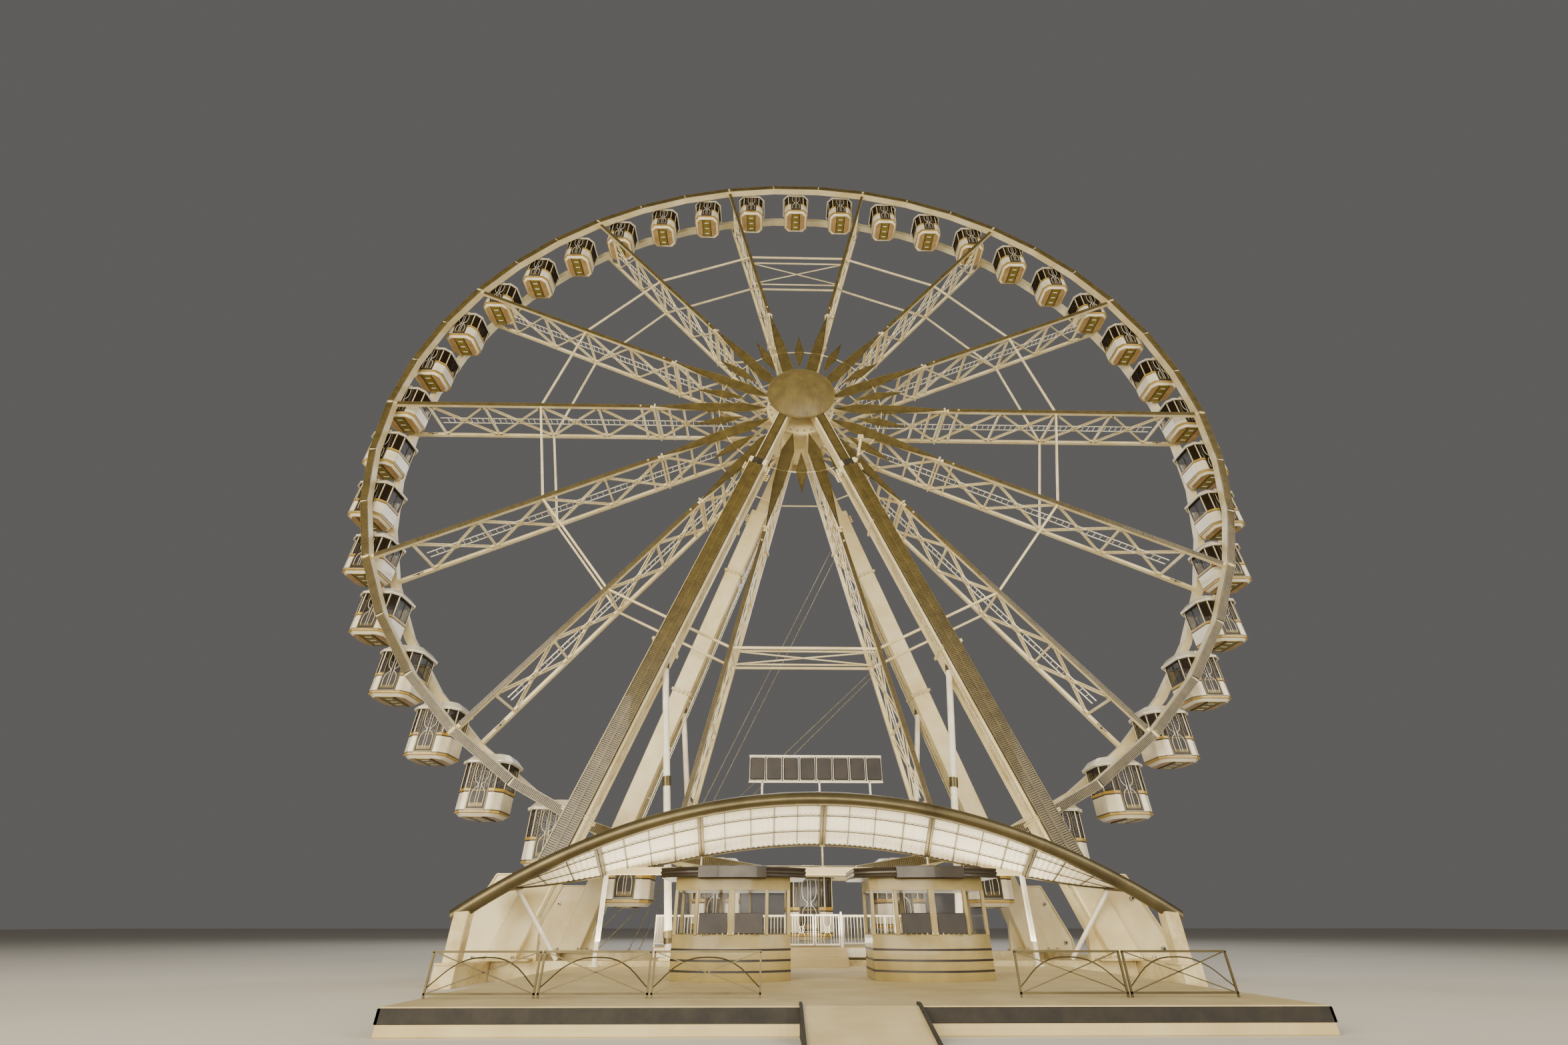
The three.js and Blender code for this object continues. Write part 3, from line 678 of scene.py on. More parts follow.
def tube(points, radius, material, sides=8, smooth=True):
    """A round tube along a line of points, closed at its ends."""
    line = bpy.data.curves.new("tube", "CURVE")
    line.dimensions = "3D"
    line.bevel_depth = radius
    line.bevel_resolution = max(0, sides // 4 - 1)
    line.resolution_u = 4
    line.use_fill_caps = True
    spline = line.splines.new("BEZIER" if smooth else "POLY")
    if smooth:
        spline.bezier_points.add(len(points) - 1)
        for knot, place in zip(spline.bezier_points, points):
            knot.co = place
            knot.handle_left_type = knot.handle_right_type = "AUTO"
    else:
        spline.points.add(len(points) - 1)
        for knot, place in zip(spline.points, points):
            knot.co = (*place, 1)
    obj = bpy.data.objects.new("tube", line)
    bpy.context.scene.collection.objects.link(obj)
    only(obj)
    bpy.ops.object.convert(target="MESH")
    obj = bpy.context.object
    obj.data.materials.clear()
    obj.data.materials.append(material)
    return obj


# %% Light panels
PANEL_BACK = -CHORD_OUTSIDE - SEAM
LONG_LEAF = [(0, 2.35), (0.42, 3.9), (0.336, 6.7), (0, 10.15)]
SHORT_LEAF = [(0, 3.95), (0.35, 5.5), (0, 7.3)]
LEAF_RIB = 0.058


def rib_ends(corners, reach):
    """The two heights at which a leaf is just this wide on each side of its middle."""
    found = []
    for (a, low), (b, high) in zip(corners, corners[1:]):
        if min(a, b) < reach <= max(a, b):
            found.append(low + (reach - a) / (b - a) * (high - low))
    return found[0], found[-1]


def light_leaf(corners):
    """A thin box with a leaf's outline, a raised edge and upright ribs. The corners give its right half."""
    outline = [*corners, *[(-x, z) for x, z in reversed(corners[1:-1])]]
    edge = [(x, PANEL_BACK - 0.055, z) for x, z in (*outline, outline[0])]
    parts = [plate(outline, (PANEL_BACK - 0.05, PANEL_BACK), lamp_tray),
             tube(edge, 0.017, slot_gold, 4, smooth=False)]
    count = int((max(x for x, z in corners) - 0.05) / LEAF_RIB)
    for i in range(-count, count + 1):
        x = i * LEAF_RIB
        parts.append(block(around(x, 0.02), (PANEL_BACK - 0.075, PANEL_BACK - 0.04),
                           rib_ends(corners, abs(x) + 0.045), lamp_cover))
    return join(parts)


settle_round(light_leaf(LONG_LEAF), SPOKE_ANGLES, "light_leaves", ["front_light_panels"])
settle_round(light_leaf(SHORT_LEAF), [angle + math.pi / SPOKES for angle in SPOKE_ANGLES], "light_diamonds",
             ["front_light_panels"])


# %% The rings of rods
def rod_rings():
    """The rods that hold the diamonds, and the plainer ring in the rear plane."""
    parts = []
    for i in range(2 * SPOKES):
        ends = [on_spoke(j * math.pi / SPOKES, 5.6, PANEL_BACK - 0.03) for j in (i, i + 1)]
        parts.append(rod(*ends, 0.03, ivory_enamel))
    for angle in SPOKE_ANGLES:
        ends = [on_spoke(turned, PANEL_NODES[1], RIM_PLANE) for turned in (angle, angle + TURN / SPOKES)]
        parts.append(rod(*ends, 0.05, ivory_enamel))
    return join(parts)


settle(rod_rings(), "panel_rods", "wheel", ["front_light_panels"], HUB)

# %% [markdown]
# ## Front cover
# The shallow dish in front of the axle is a lamp panel too. A flat grid is squeezed into a disc and bowed
# out, with upright ribs raised on it that waver a little. A seam runs from the top to the lower right, and
# a ring holds the rim.

# %% Sheets
def sheet(columns, rows, place, thickness, offset):
    """A flat grid, its points put where place says and then thickened. Across and up go from -1 to 1."""
    bpy.ops.object.select_all(action="DESELECT")
    bpy.ops.mesh.primitive_grid_add(x_subdivisions=columns, y_subdivisions=rows, size=2)
    obj = bpy.context.object
    for vertex in obj.data.vertices:
        vertex.co = place(vertex.co.x, vertex.co.y)
    only(obj)
    wall = obj.modifiers.new("wall", "SOLIDIFY")
    wall.thickness = thickness
    wall.offset = offset
    bpy.ops.object.modifier_apply(modifier=wall.name)
    return obj


# %% Front axle cover
COVER_RADIUS = 2.26
COVER_BACK = -3.1 - SEAM
COVER_DEPTH = 0.6
COVER_RIBS = 52
SEAM_LINE = [(0.0, 0.96), (0.08, 0.5), (0.2, 0.05), (0.4, -0.4), (0.62, -0.74)]


def cover_point(x, z, lift):
    """A point on the dish, or lift in front of it."""
    share = min(1, math.hypot(x, z) / COVER_RADIUS)
    return Vector((x, COVER_BACK - 0.02 - COVER_DEPTH * 0.92 * (1 - share ** 2.6) - lift, z))


def ribbed_point(across, up):
    """Where a point of the flat grid goes on the ribbed dish."""
    reach = COVER_RADIUS - 0.05
    x = across * reach * 0.998
    z = up * math.sqrt(reach ** 2 - x ** 2)
    ripple = 0.5 + 0.5 * math.cos(across * math.pi * COVER_RIBS)
    return cover_point(x + 0.02 * math.sin(2.6 * z) * (1 - across ** 2), z, 0.022 * ripple)


def axle_cover():
    """The dish, the ring round it and the seam across it."""
    dish = closed(sheet(COVER_RIBS * 4, 30, ribbed_point, 0.015, -1), cover_brown)
    lip, front, floor_front = COVER_RADIUS - 0.12, COVER_BACK - 0.09, COVER_BACK - 0.012
    rim = spun([(lip, front), (COVER_RADIUS - 0.02, front), (COVER_RADIUS, COVER_BACK - 0.07),
                (COVER_RADIUS, COVER_BACK), (0.001, COVER_BACK), (0.001, floor_front), (lip, floor_front)],
               64, cover_brown)
    points = [cover_point(x * COVER_RADIUS, z * COVER_RADIUS, 0.026) for x, z in SEAM_LINE]
    return join([dish, rim, tube(points, 0.014, slot_gold, 4)])


settle(axle_cover(), "front_cover", "stand", ["front_axle_cover"], HUB)


# %% Axle
def axle_and_heads():
    """The fixed axle, the two blocks that the leg heads are bolted to, and the domed cap at the back."""
    cap = 0.8 * COVER_RADIUS
    dome = [(cap * math.cos(a), 3.2 + 0.5 * math.sin(a)) for a in [i * math.pi / 16 for i in range(1, 8)]]
    profile = [(0.001, -3.1), (0.44, -3.1), (0.45, -3.09), (0.45, 3.1), (cap - 0.02, 3.1), (cap, 3.12),
               (cap, 3.2), *dome, (0.001, 3.7)]
    parts = [spun(profile, 48, ivory_enamel)]
    for side in (-1, 1):
        face = side * 3.1
        parts.append(block(1.15, (side * 2.0, face), 0.95, ivory_enamel, 0.05))
        for x in (-0.9, 0.9):
            for z in (-0.7, 0, 0.7):
                parts.append(rod((x, face, z), (x, face + side * 0.05, z), 0.07, galvanised, 6))
    return join(parts)


settle(axle_and_heads(), "axle_and_heads", "stand", ["axle"], HUB)

# %% [markdown]
# ## Cabins
# Forty-two cabins hang between the rims. Each is an eight-sided tub of cream panels under a golden rail,
# brown glass all round, a glazed door with a looped grille, and a wide flat roof lined in orange. Its
# outline is drawn once and raised in rings, each scaled a little, and going back down makes the hollow.

# %% The eight-sided outline, raised in rings
CABIN_HALF, CABIN_CUT = 1.05, 0.7
RIGHT_HALF = [(CABIN_CUT, -CABIN_HALF), (CABIN_HALF, -CABIN_CUT), (CABIN_HALF, CABIN_CUT),
              (CABIN_CUT, CABIN_HALF)]
OCTAGON = [*RIGHT_HALF, *[(-x, y) for x, y in reversed(RIGHT_HALF)]]
SILL = -1.35
GLASS_TOP = -0.22
TUB_BOTTOM = -2.36
KEEL = -2.55


def column(outline, rings, material):
    """An outline in X-Y, extruded from ring to ring. A ring is its height and how much it is scaled."""
    first_z, first_scale = rings[0]
    obj = disc([(x * first_scale, y * first_scale, first_z) for x, y in outline])
    only(obj)
    for z, scale in rings[1:]:
        bpy.ops.object.mode_set(mode="EDIT")
        bpy.ops.mesh.extrude_region_move(TRANSFORM_OT_translate={"value": (0, 0, 1)})
        bpy.ops.object.mode_set(mode="OBJECT")
        for vertex, (x, y) in zip(obj.data.vertices[-len(outline):], outline):
            vertex.co = (x * scale, y * scale, z)
    return closed(obj, material)


# %% The cabin's shell
def material_where(obj, material, wanted):
    """Gives the faces whose centre and normal pass a test another material."""
    obj.data.materials.append(material)
    index = len(obj.data.materials) - 1
    for face in obj.data.polygons:
        if wanted(face.center, face.normal):
            face.material_index = index


def cabin_shell():
    """The tub with its hollow, the golden rail and sill, and the roof with its lining."""
    tub = column(OCTAGON, [(KEEL, 0.8), (TUB_BOTTOM, 0.99), (SILL, 0.99), (SILL, 0.93), (-2.25, 0.93)],
                 fibre_white)
    material_where(tub, keel_lacquer, lambda centre, normal: normal.z < -0.9 and centre.z < TUB_BOTTOM)
    material_where(tub, bench_vinyl,
                   lambda centre, normal: centre.z > -2.3 and centre.xy.length_squared < 0.9)
    rail = column(OCTAGON, [(SILL - 0.12, 1.0), (SILL - 0.1, 1.02), (SILL, 1.02), (SILL + 0.02, 1.0),
                            (SILL + 0.02, 0.92), (SILL - 0.12, 0.92)], gold_trim)
    sill = column(OCTAGON, [(TUB_BOTTOM - 0.06, 0.95), (TUB_BOTTOM - 0.04, 1.0), (TUB_BOTTOM + 0.04, 1.0),
                            (TUB_BOTTOM + 0.06, 0.98)], gold_trim)
    roof = column(OCTAGON, [(-0.13, 1.06), (-0.2, 1.06), (-0.2, 1.13), (-0.09, 1.13), (-0.05, 1.08),
                            (0.2, 0.87), (0.26, 0.8)], fibre_white)
    material_where(roof, orange_lining_lamp_glow, lambda centre, normal: -0.15 < centre.z < -0.11 and normal.z < -0.9)
    line = column(OCTAGON, [(-0.17, 1.12), (-0.17, 1.132), (-0.15, 1.132), (-0.15, 1.12)], dark_board)
    return [tub, rail, sill, roof, line]


# %% [markdown]
# A wall is drawn once, as it stands at the front, and carried to each of the eight sides. Its glass lies
# behind a thin casing, over a raised cream panel with a dark strip above and below it: painted shade for the
# gaps at the golden rail and the sill.

# %% The cabin's walls
def sides():
    """Each of the eight walls: the matrix that carries a piece to it from the front, and its half width."""
    found = []
    for i in range(8):
        a, b = Vector((*OCTAGON[i - 1], 0)), Vector((*OCTAGON[i], 0))
        middle, run = (a + b) / 2, (b - a)
        turn = Matrix.Rotation(math.atan2(run.y, run.x), 4, "Z")
        found.append((Matrix.Translation(middle) @ turn, run.length / 2))
    return found


def frame_of(half, low, high, width, depth, material):
    """A window frame in X-Z: a face whose inset middle is deleted, then extruded along Y."""
    obj = disc([(-half, 0, low), (half, 0, low), (half, 0, high), (-half, 0, high)])
    with editing(obj):
        bpy.ops.mesh.inset(thickness=width)
        bpy.ops.mesh.delete(type="FACE")
        bpy.ops.mesh.select_all(action="SELECT")
        bpy.ops.mesh.extrude_region_move(TRANSFORM_OT_translate={"value": (0, depth, 0)})
    return closed(obj, material)


def wall_pane(low_x, high_x):
    """The glass, panel, painted shade lines and casing of one stretch of wall. A wide one has a bar in its
    middle.
    """
    centre, reach = (low_x + high_x) / 2, (high_x - low_x) / 2
    shade_line_x, shade_line_y = (low_x + 0.01, high_x - 0.01), (-0.004, 0.02)
    pane = [block((low_x + 0.03, high_x - 0.03), (0.02, 0.035), (SILL, GLASS_TOP), window_glass),
            block((low_x + 0.035, high_x - 0.035), (-0.012, 0.02), (TUB_BOTTOM + 0.1, SILL - 0.17),
                  fibre_white, 0.01),
            # the two dark strips next are painted shade, for the gaps over the sill and under the golden rail
            block(shade_line_x, shade_line_y, (TUB_BOTTOM + 0.055, TUB_BOTTOM + 0.085), dark_board),
            block(shade_line_x, shade_line_y, (SILL - 0.16, SILL - 0.12), dark_board),
            put(frame_of(reach - 0.05, SILL + 0.03, GLASS_TOP, 0.022, 0.03, dark_board), shift(centre, 0, 0))]
    if reach > 0.4:
        pane.append(block(around(centre, 0.014), (-0.005, 0.03), (SILL + 0.03, GLASS_TOP), dark_board))
    return pane


DOOR_HALF = 0.45


def cabin_walls():
    """Eight walls and the posts between them. The front wall leaves its middle to the door."""
    parts = []
    for i, (place, half) in enumerate(sides()):
        for stretch in [(-half, -DOOR_HALF), (DOOR_HALF, half)] if i == 0 else [(-half, half)]:
            parts += [put(piece, place) for piece in wall_pane(*stretch)]
    for x, y in OCTAGON:
        parts.append(bar((x * 0.985, y * 0.985, SILL), (x * 0.985, y * 0.985, -0.14), 0.055, 0.055,
                         ivory_enamel, 0.015, Vector((-y, x, 0)).normalized()))
    return parts


# %% The cabin's door
GRILLE_LOOP = [(0.3, -0.28), (0.3, -0.85), (0.22, -1.05), (0.1, -1.16), (0.1, -1.26), (0.22, -1.37),
               (0.3, -1.55), (0.3, -2.1)]


def cabin_door():
    """A tall dark door, a little proud of the rail and the sill, behind a grille of looped rods."""
    parts = [frame_of(DOOR_HALF, TUB_BOTTOM + 0.07, GLASS_TOP + 0.02, 0.05, 0.08, bronze_paint),
             block(0.4, (0.02, 0.035), (SILL, GLASS_TOP), window_glass),
             block(0.4, (0.005, 0.05), (-2.22, SILL + 0.03), dark_board, 0.01)]
    for height in ((-2.17, -1.98), (-1.47, -1.41)):
        parts.append(block(0.34, (-0.005, 0.02), height, bronze_paint, 0.01))
    for hand in (-1, 1):
        parts += [tube([(hand * x, -0.012, z) for x, z in GRILLE_LOOP], 0.016, white_rail, 4),
                  tube([(hand * 0.06, -0.012, z) for z in (-0.28, -2.1)], 0.014, white_rail, 4, smooth=False)]
    return [put(piece, shift(0, -CABIN_HALF - 0.03, 0)) for piece in parts]


# %% The cabin's benches, underside and shaft
def cabin_inside():
    """Two facing benches and the round wheel between them that riders turn."""
    parts = []
    for hand in (-1, 1):
        parts += [block((hand * 0.5, hand * 0.92), (-0.6, 0.75), (-1.93, -1.8), bench_vinyl, 0.03),
                  block((hand * 0.85, hand * 0.93), (-0.6, 0.75), (-1.8, -1.38), bench_vinyl, 0.025)]
    parts.append(rod((0, 0, -2.25), (0, 0, -1.62), 0.035, galvanised))
    wheel = spun([(0.001, -0.015), (0.2, -0.015), (0.22, 0), (0.2, 0.015), (0.001, 0.015)], 16, gold_trim)
    return [*parts, put(wheel, shift(0, 0, -1.6) @ Matrix.Rotation(math.pi / 2, 4, "X"))]


def cabin_underside():
    """The dull gold strip under the floor with its three pale slots, and its two dark edges."""
    parts = [block(0.34, 0.83, (KEEL - 0.03, KEEL + 0.01), slot_gold, 0.012)]
    for y in (-0.5, 0, 0.5):
        parts.append(block(0.17, around(y, 0.045), (KEEL - 0.04, KEEL - 0.02), white_rail, 0.008))
    for hand in (-1, 1):
        parts.append(block((hand * 0.35, hand * 0.38), 0.83, (KEEL - 0.035, KEEL), dark_board))
    return parts


def cabin_shaft():
    """The shaft that the cabin hangs from, its collars, and the two hangers that hold the roof to it."""
    parts = [rod((0, -1.21, 0), (0, 1.21, 0), 0.085, galvanised, 12)]
    for side in (-1, 1):
        parts += [rod((0, side * 1.12, 0), (0, side * 1.19, 0), 0.15, ivory_enamel, 12),
                  block(0.2, (side * 0.98, side * 1.08), (-0.1, 0.2), ivory_enamel, 0.02)]
    return [*parts, block(0.3, 0.45, (0.2, 0.32), fibre_white, 0.03)]


# %% [markdown]
# One cabin is made about its pivot and copied, each copy with its own mesh, because each turns on its own
# shaft.

# %% All the cabins
cabin = join([*cabin_shell(), *cabin_walls(), *cabin_door(), *cabin_inside(), *cabin_underside(),
              *cabin_shaft()])
print("one cabin has", len(cabin.data.polygons), "faces")
for i, angle in enumerate(LENGTH_ANGLES):
    name = f"cabin_{i + 1:02d}"
    pivot = on_spoke(angle, PIVOT_RADIUS, 0) + Vector(HUB)
    settle(twin_of(cabin), f"{name}_dressed", name, [name], pivot, 30)
bpy.data.objects.remove(cabin)

# %% [markdown]
# Each shaft runs in a bearing on the inner face of both rims. The bearing turns with the wheel while the
# shaft stays level in it, so it belongs to the wheel.

# %% Cabin bearings
def bearing_pair():
    """A round housing on a plate, at each end of a shaft."""
    parts = []
    for side in (-1, 1):
        housing = [(0.001, 1.22), (0.17, 1.22), (0.2, 1.24), (0.2, 1.3), (0.001, 1.3)]
        parts += [spun([(radius, side * y) for radius, y in housing], 16, galvanised),
                  block(0.42, (side * 1.26, side * 1.3), 0.17, ivory_enamel, 0.02)]
    return put(join(parts), shift(0, 0, PIVOT_RADIUS))


settle_round(bearing_pair(), LENGTH_ANGLES, "cabin_bearings")

# %% [markdown]
# ## Legs
# Four tapered frames of welded box carry the axle. Each leg is a wide box with three bolted flanges, a
# narrower neck, a long recess in its inner face, a round prop and a gusset at its foot. It is drawn upright
# and laid along its line, and what would stand in the base is cut off. One is made, and the rest are mirror
# images.

# %% A leg's line
FOOT_X, BEAM_Y = 11.6, 4.6
LEG_HEAD = Vector((0.55, 2.45, 31.5))
LEG_FOOT = Vector((FOOT_X, BEAM_Y, BASE_TOP))
LEG_LENGTH = (LEG_HEAD - LEG_FOOT).length
LEG_WIDE, LEG_DEEP = 0.525, 0.65
NECK_WIDE, NECK_DEEP = 0.375, 0.45
NECK = LEG_LENGTH * 0.805
BASE_SEAT = BASE_TOP + SEAM
FOOT_PLATE_TOP = 0.68
print("a leg is", round(LEG_LENGTH, 2), "m long, and its neck starts at", round(NECK, 2))


def leg_frame(hand, row):
    """The frame of a leg, with Z up it from its foot. Hand is -1 for the left, and row -1 for the front."""
    flip = Matrix.Diagonal((hand, row, 1, 1))
    return along(flip @ LEG_FOOT, flip @ LEG_HEAD)


# %% The box of a leg
def leg_box():
    """The leg and its neck, from the foot up, with the flanges, bolts, recesses and pipe fixed to them."""
    parts = [block(LEG_WIDE, LEG_DEEP, (-1.5, NECK), ivory_enamel, 0.04),
             block(NECK_WIDE, NECK_DEEP, (NECK - 0.1, LEG_LENGTH), ivory_enamel, 0.04)]
    for height in (0.16 * LEG_LENGTH, 0.41 * LEG_LENGTH, 0.66 * LEG_LENGTH):
        for low in (height - 0.07, height + 0.01):
            parts.append(block(LEG_WIDE + 0.09, LEG_DEEP + 0.09, (low, low + 0.06), ivory_enamel, 0.012))
        for y in (-LEG_DEEP - 0.045, LEG_DEEP + 0.045):
            for x in (-0.42, -0.14, 0.14, 0.42):
                parts.append(rod((x, y, height - 0.12), (x, y, height + 0.12), 0.03, galvanised, 6))
    parts.append(block(LEG_WIDE + 0.05, LEG_DEEP + 0.05, (NECK - 0.35, NECK + 0.08), ivory_enamel, 0.04))
    for side in (-1, 1):
        for y in (-0.3, 0.3):
            parts.append(block((side * LEG_WIDE, side * (LEG_WIDE + 0.3)), around(y, 0.03),
                               (NECK - 0.75, NECK - 0.2), ivory_enamel, 0.02))
            for drop in (0.65, 0.47, 0.3):
                place = Vector((side * (LEG_WIDE + 0.18), y, NECK - drop))
                parts.append(rod(place - 0.05 * Y_AXIS, place + 0.05 * Y_AXIS, 0.04, rubber_edge, 8))
    for low, high in ((0.18, 0.39), (0.43, 0.64), (0.68, 0.8)):
        height = (low * LEG_LENGTH, high * LEG_LENGTH)
        for y in (-0.28, 0.28):
            parts.append(block((-LEG_WIDE - 0.025, -LEG_WIDE), around(y, 0.035), height, ivory_enamel, 0.01))
        parts.append(block((-LEG_WIDE - 0.006, -LEG_WIDE), 0.22, height, beam_enamel))
    pipe_x = -LEG_WIDE - 0.09
    parts.append(rod((pipe_x, 0.45, 1.6), (pipe_x, 0.45, NECK - 0.6), 0.035, galvanised))
    whole = put(join(parts), leg_frame(1, 1))
    with editing(whole):
        bpy.ops.mesh.bisect(plane_co=(0, 0, BASE_SEAT), plane_no=Z_AXIS, use_fill=True, clear_inner=True)
    return whole


# %% The prop and the gusset
PROP_HEAD, PROP_FOOT = Vector((7.07, 3.72, 13.27)), Vector((5.5, BEAM_Y, 0.62))
GUSSET = [(10.4, BASE_SEAT), (13.6, BASE_SEAT), (13.6, 1.1), (12.5, 3.4), (10.7, 3.4)]
GUSSET_FLANGES = (((13.6, 1.1), (12.5, 3.4)), ((12.5, 3.4), (11.0, 3.4)), ((13.6, 0.65), (13.6, 1.1)))


def leg():
    """The right rear leg: its box, its prop with a collar and forked ends, and its flanged gusset."""
    parts = [leg_box(), rod(PROP_HEAD, PROP_FOOT, 0.15, white_rail, 16)]
    run = (PROP_FOOT - PROP_HEAD).normalized()
    middle, pin = (PROP_FOOT + PROP_HEAD) / 2, PROP_HEAD + run * 0.45
    for near, far in ((middle - run * 0.2, middle + run * 0.2),
                      (PROP_HEAD + run * 0.75, PROP_HEAD + run * 1.15),
                      (PROP_FOOT - run * 0.9, PROP_FOOT - run * 0.5)):
        parts.append(rod(near, far, 0.19, bronze_paint, 16))
    for cheek in (PROP_HEAD - 0.19 * Y_AXIS, PROP_HEAD + 0.19 * Y_AXIS):
        parts.append(bar(cheek - run * 0.1, cheek + run * 0.8, 0.3, 0.05, ivory_enamel, 0.015))
    parts += [rod(pin - 0.28 * Y_AXIS, pin + 0.28 * Y_AXIS, 0.06, galvanised, 10),
              block(around(PROP_FOOT.x, 0.35), around(BEAM_Y, 0.35), (BASE_SEAT, FOOT_PLATE_TOP),
                    ivory_enamel, 0.015),
              plate(GUSSET, around(BEAM_Y, 0.13), ivory_enamel)]
    for (start_x, start_z), (end_x, end_z) in GUSSET_FLANGES:
        parts.append(bar((start_x, BEAM_Y, start_z), (end_x, BEAM_Y, end_z), 0.05, 0.42, ivory_enamel, 0.01))
    for x, z in ((13.25, 0.95), (12.55, 2.6)):
        for reach, radius, material, facets in ((0.2, 0.09, galvanised, 12), (0.21, 0.045, rubber_edge, 10)):
            parts.append(rod((x, BEAM_Y - reach, z), (x, BEAM_Y + reach, z), radius, material, facets))
    return join(parts)


# %% Four legs
HANDS = ((-1, "left"), (1, "right"))
first_leg = leg()
for row, row_name in ((-1, "front"), (1, "rear")):
    for hand, hand_name in HANDS:
        node = f"{row_name}_leg_{hand_name}"
        mirrored = twin_of(first_leg, Matrix.Diagonal((hand, row, 1, 1)))
        settle(mirrored, f"{node}_dressed", "stand", [node])
bpy.data.objects.remove(first_leg)

# %% [markdown]
# The two front legs carry light strips: two rows of ribs side by side over the leg's whole face, and a
# darker row on its neck. On the right one's neck a bent arm holds a small work lamp.

# %% The legs' light strips and the lamp arm
def leg_strip(hand):
    """The light strip on a front leg."""
    low, high, top = 3.1, NECK - 0.45, LEG_LENGTH - 1.4
    face = -LEG_DEEP
    parts = [upright_tray(side * 0.215, face - 0.1, low, high, 0.21, 0.09, lamp_cover) for side in (-1, 1)]
    parts += [block(0.44, (face - 0.1, face), (low - 0.02, high + 0.02), lamp_tray, 0.01),
              block(0.32, (face - 0.08, face - 0.045), (high, NECK + 0.06), lamp_tray, 0.01),
              upright_tray(0, -NECK_DEEP, NECK, top, 0.27, 0.07, lamp_tray)]
    return put(join(parts), leg_frame(hand, -1))


def lamp_arm():
    """The arm, its elbow, and the lamp with its glass."""
    root, elbow, tip = Vector((3.1, -3.2, 25.55)), Vector((3.42, -3.2, 25.95)), Vector((3.7, -3.2, 27.45))
    return join([
        rod(root, elbow, 0.09, ivory_enamel, 12),
        rod(elbow - Vector((0.02, 0, 0.06)), tip, 0.09, ivory_enamel, 12),
        rod(elbow - 0.13 * Y_AXIS, elbow + 0.13 * Y_AXIS, 0.11, galvanised, 12),
        block(around(tip.x, 0.17), (tip.y - 0.2, tip.y + 0.16), (tip.z - 0.02, tip.z + 0.3),
              ivory_enamel, 0.03),
        block(around(tip.x, 0.13), (tip.y - 0.225, tip.y - 0.19), (tip.z + 0.02, tip.z + 0.26),
              window_glass, 0.01),
    ])


for hand, hand_name in HANDS:
    settle(leg_strip(hand), f"front_leg_{hand_name}_light_strip", "stand")
settle(lamp_arm(), "lamp_arm", "stand")

# %% [markdown]
# A ladder with stand-off brackets climbs the left rear leg, and two pairs of taut wires run across behind
# the wheel from the right rear leg down to the rear beam. The wires are tight, so they are straight.

# %% Leg ladder and wires
WIRE_RUNS = (((2.62, 3.42, 24.05), (-8.81, 4.9, 0.62)), ((2.84, 3.46, 23.41), (-8.3, 4.9, 0.62)),
             ((5.54, 3.99, 15.88), (-10.83, 4.87, 1.08)), ((5.62, 4.0, 15.63), (-10.41, 4.9, 0.62)))


def leg_ladder():
    """The ladder, with a pair of brackets every 2.8 m."""
    parts = [put(ladder(1.0, LEG_LENGTH * 0.82, 0.22, 0.018, 0.33), shift(0.75, 0, 0))]
    for i in range(9):
        low = 2 + i * 2.8
        parts += [block((0.5, 0.75), around(y, 0.02), (low, low + 0.04), white_rail) for y in (-0.22, 0.22)]
    return put(join(parts), leg_frame(-1, 1))


def wires():
    """Each wire with an eye plate at its two ends."""
    parts = []
    for ends in WIRE_RUNS:
        parts.append(rod(*ends, 0.022, galvanised, 6))
        parts += [block(*[around(place, 0.07) for place in end], galvanised, 0.02) for end in ends]
    return join(parts)


settle(leg_ladder(), "leg_ladder", "stand")
settle(wires(), "stay_wires", "stand")

# %% [markdown]
# ## Base frame
# Heavy ivory beams lie on the ground. The CAD's beams stay, and get the plates that are bolted to them: one
# on each side of every cross beam's end, and one under each leg.

# %% Base details
def base_details():
    """The joint plates, and the foot plates with their bolts."""
    parts = []
    for x in (-12.3, -5.5, 0, 5.5, 12.3):
        for y in (-BEAM_Y, BEAM_Y):
            for edge in around(x, 0.42):
                parts.append(block(around(edge, 0.03), around(y, 0.42), (0.02, 0.64), beam_enamel, 0.01))
    for x in (-FOOT_X, FOOT_X):
        for y in (-BEAM_Y, BEAM_Y):
            parts.append(block(around(x, 1.1), around(y, 0.75), (BASE_TOP, FOOT_PLATE_TOP),
                               beam_enamel, 0.02))
            for bolt_x in (x - 0.95, x - 0.5, x + 0.5, x + 0.95):
                for bolt_y in around(y, 0.64):
                    parts.append(rod((bolt_x, bolt_y, FOOT_PLATE_TOP),
                                     (bolt_x, bolt_y, FOOT_PLATE_TOP + 0.08), 0.06, galvanised, 6))
    return join(parts)


settle(base_details(), "base_fittings", "stand")
dress("base_frame", beam_enamel)

# %% [markdown]
# ## Deck, steps and station
# The deck is a low floor of tread plate with a dark rubber edge, reached by a ramp in the middle. Steps
# lead up to the station floor between the legs, which has white railings of round bars. The deck has low
# panels of dark flat bar.

# %% Floors
DECK_TOP = 0.46
DECK_HALF = 9.0
DECK_FRONT, DECK_BACK = -18.2, -5.5
RAMP_FOOT = DECK_FRONT - 1.6
STATION_TOP = 1.0
STATION_HALF = 6.2
STATION_FRONT, STATION_BACK = -4.1, 3.8
STAIR_HALF = 1.1
print("the station stands", round(STATION_TOP - DECK_TOP, 2), "m above the deck")


def edging(half, front, back, z, proud, inside, material, bevel):
    """Strips along a floor's front and its two sides. Each starts a little proud of it and ends inside it."""
    strips = [block(half + proud, (front - proud, front + inside), z, material, bevel)]
    for hand in (-1, 1):
        strips.append(block((hand * (half + proud), hand * (half - inside)), (front - proud, back + proud), z,
                            material, bevel))
    return strips


def plate_across(outline, x, material):
    """An outline drawn in Y-Z, extruded over a span of X."""
    low, high = span(x)
    return extruded([(low, y, z) for y, z in outline], (high - low, 0, 0), material)


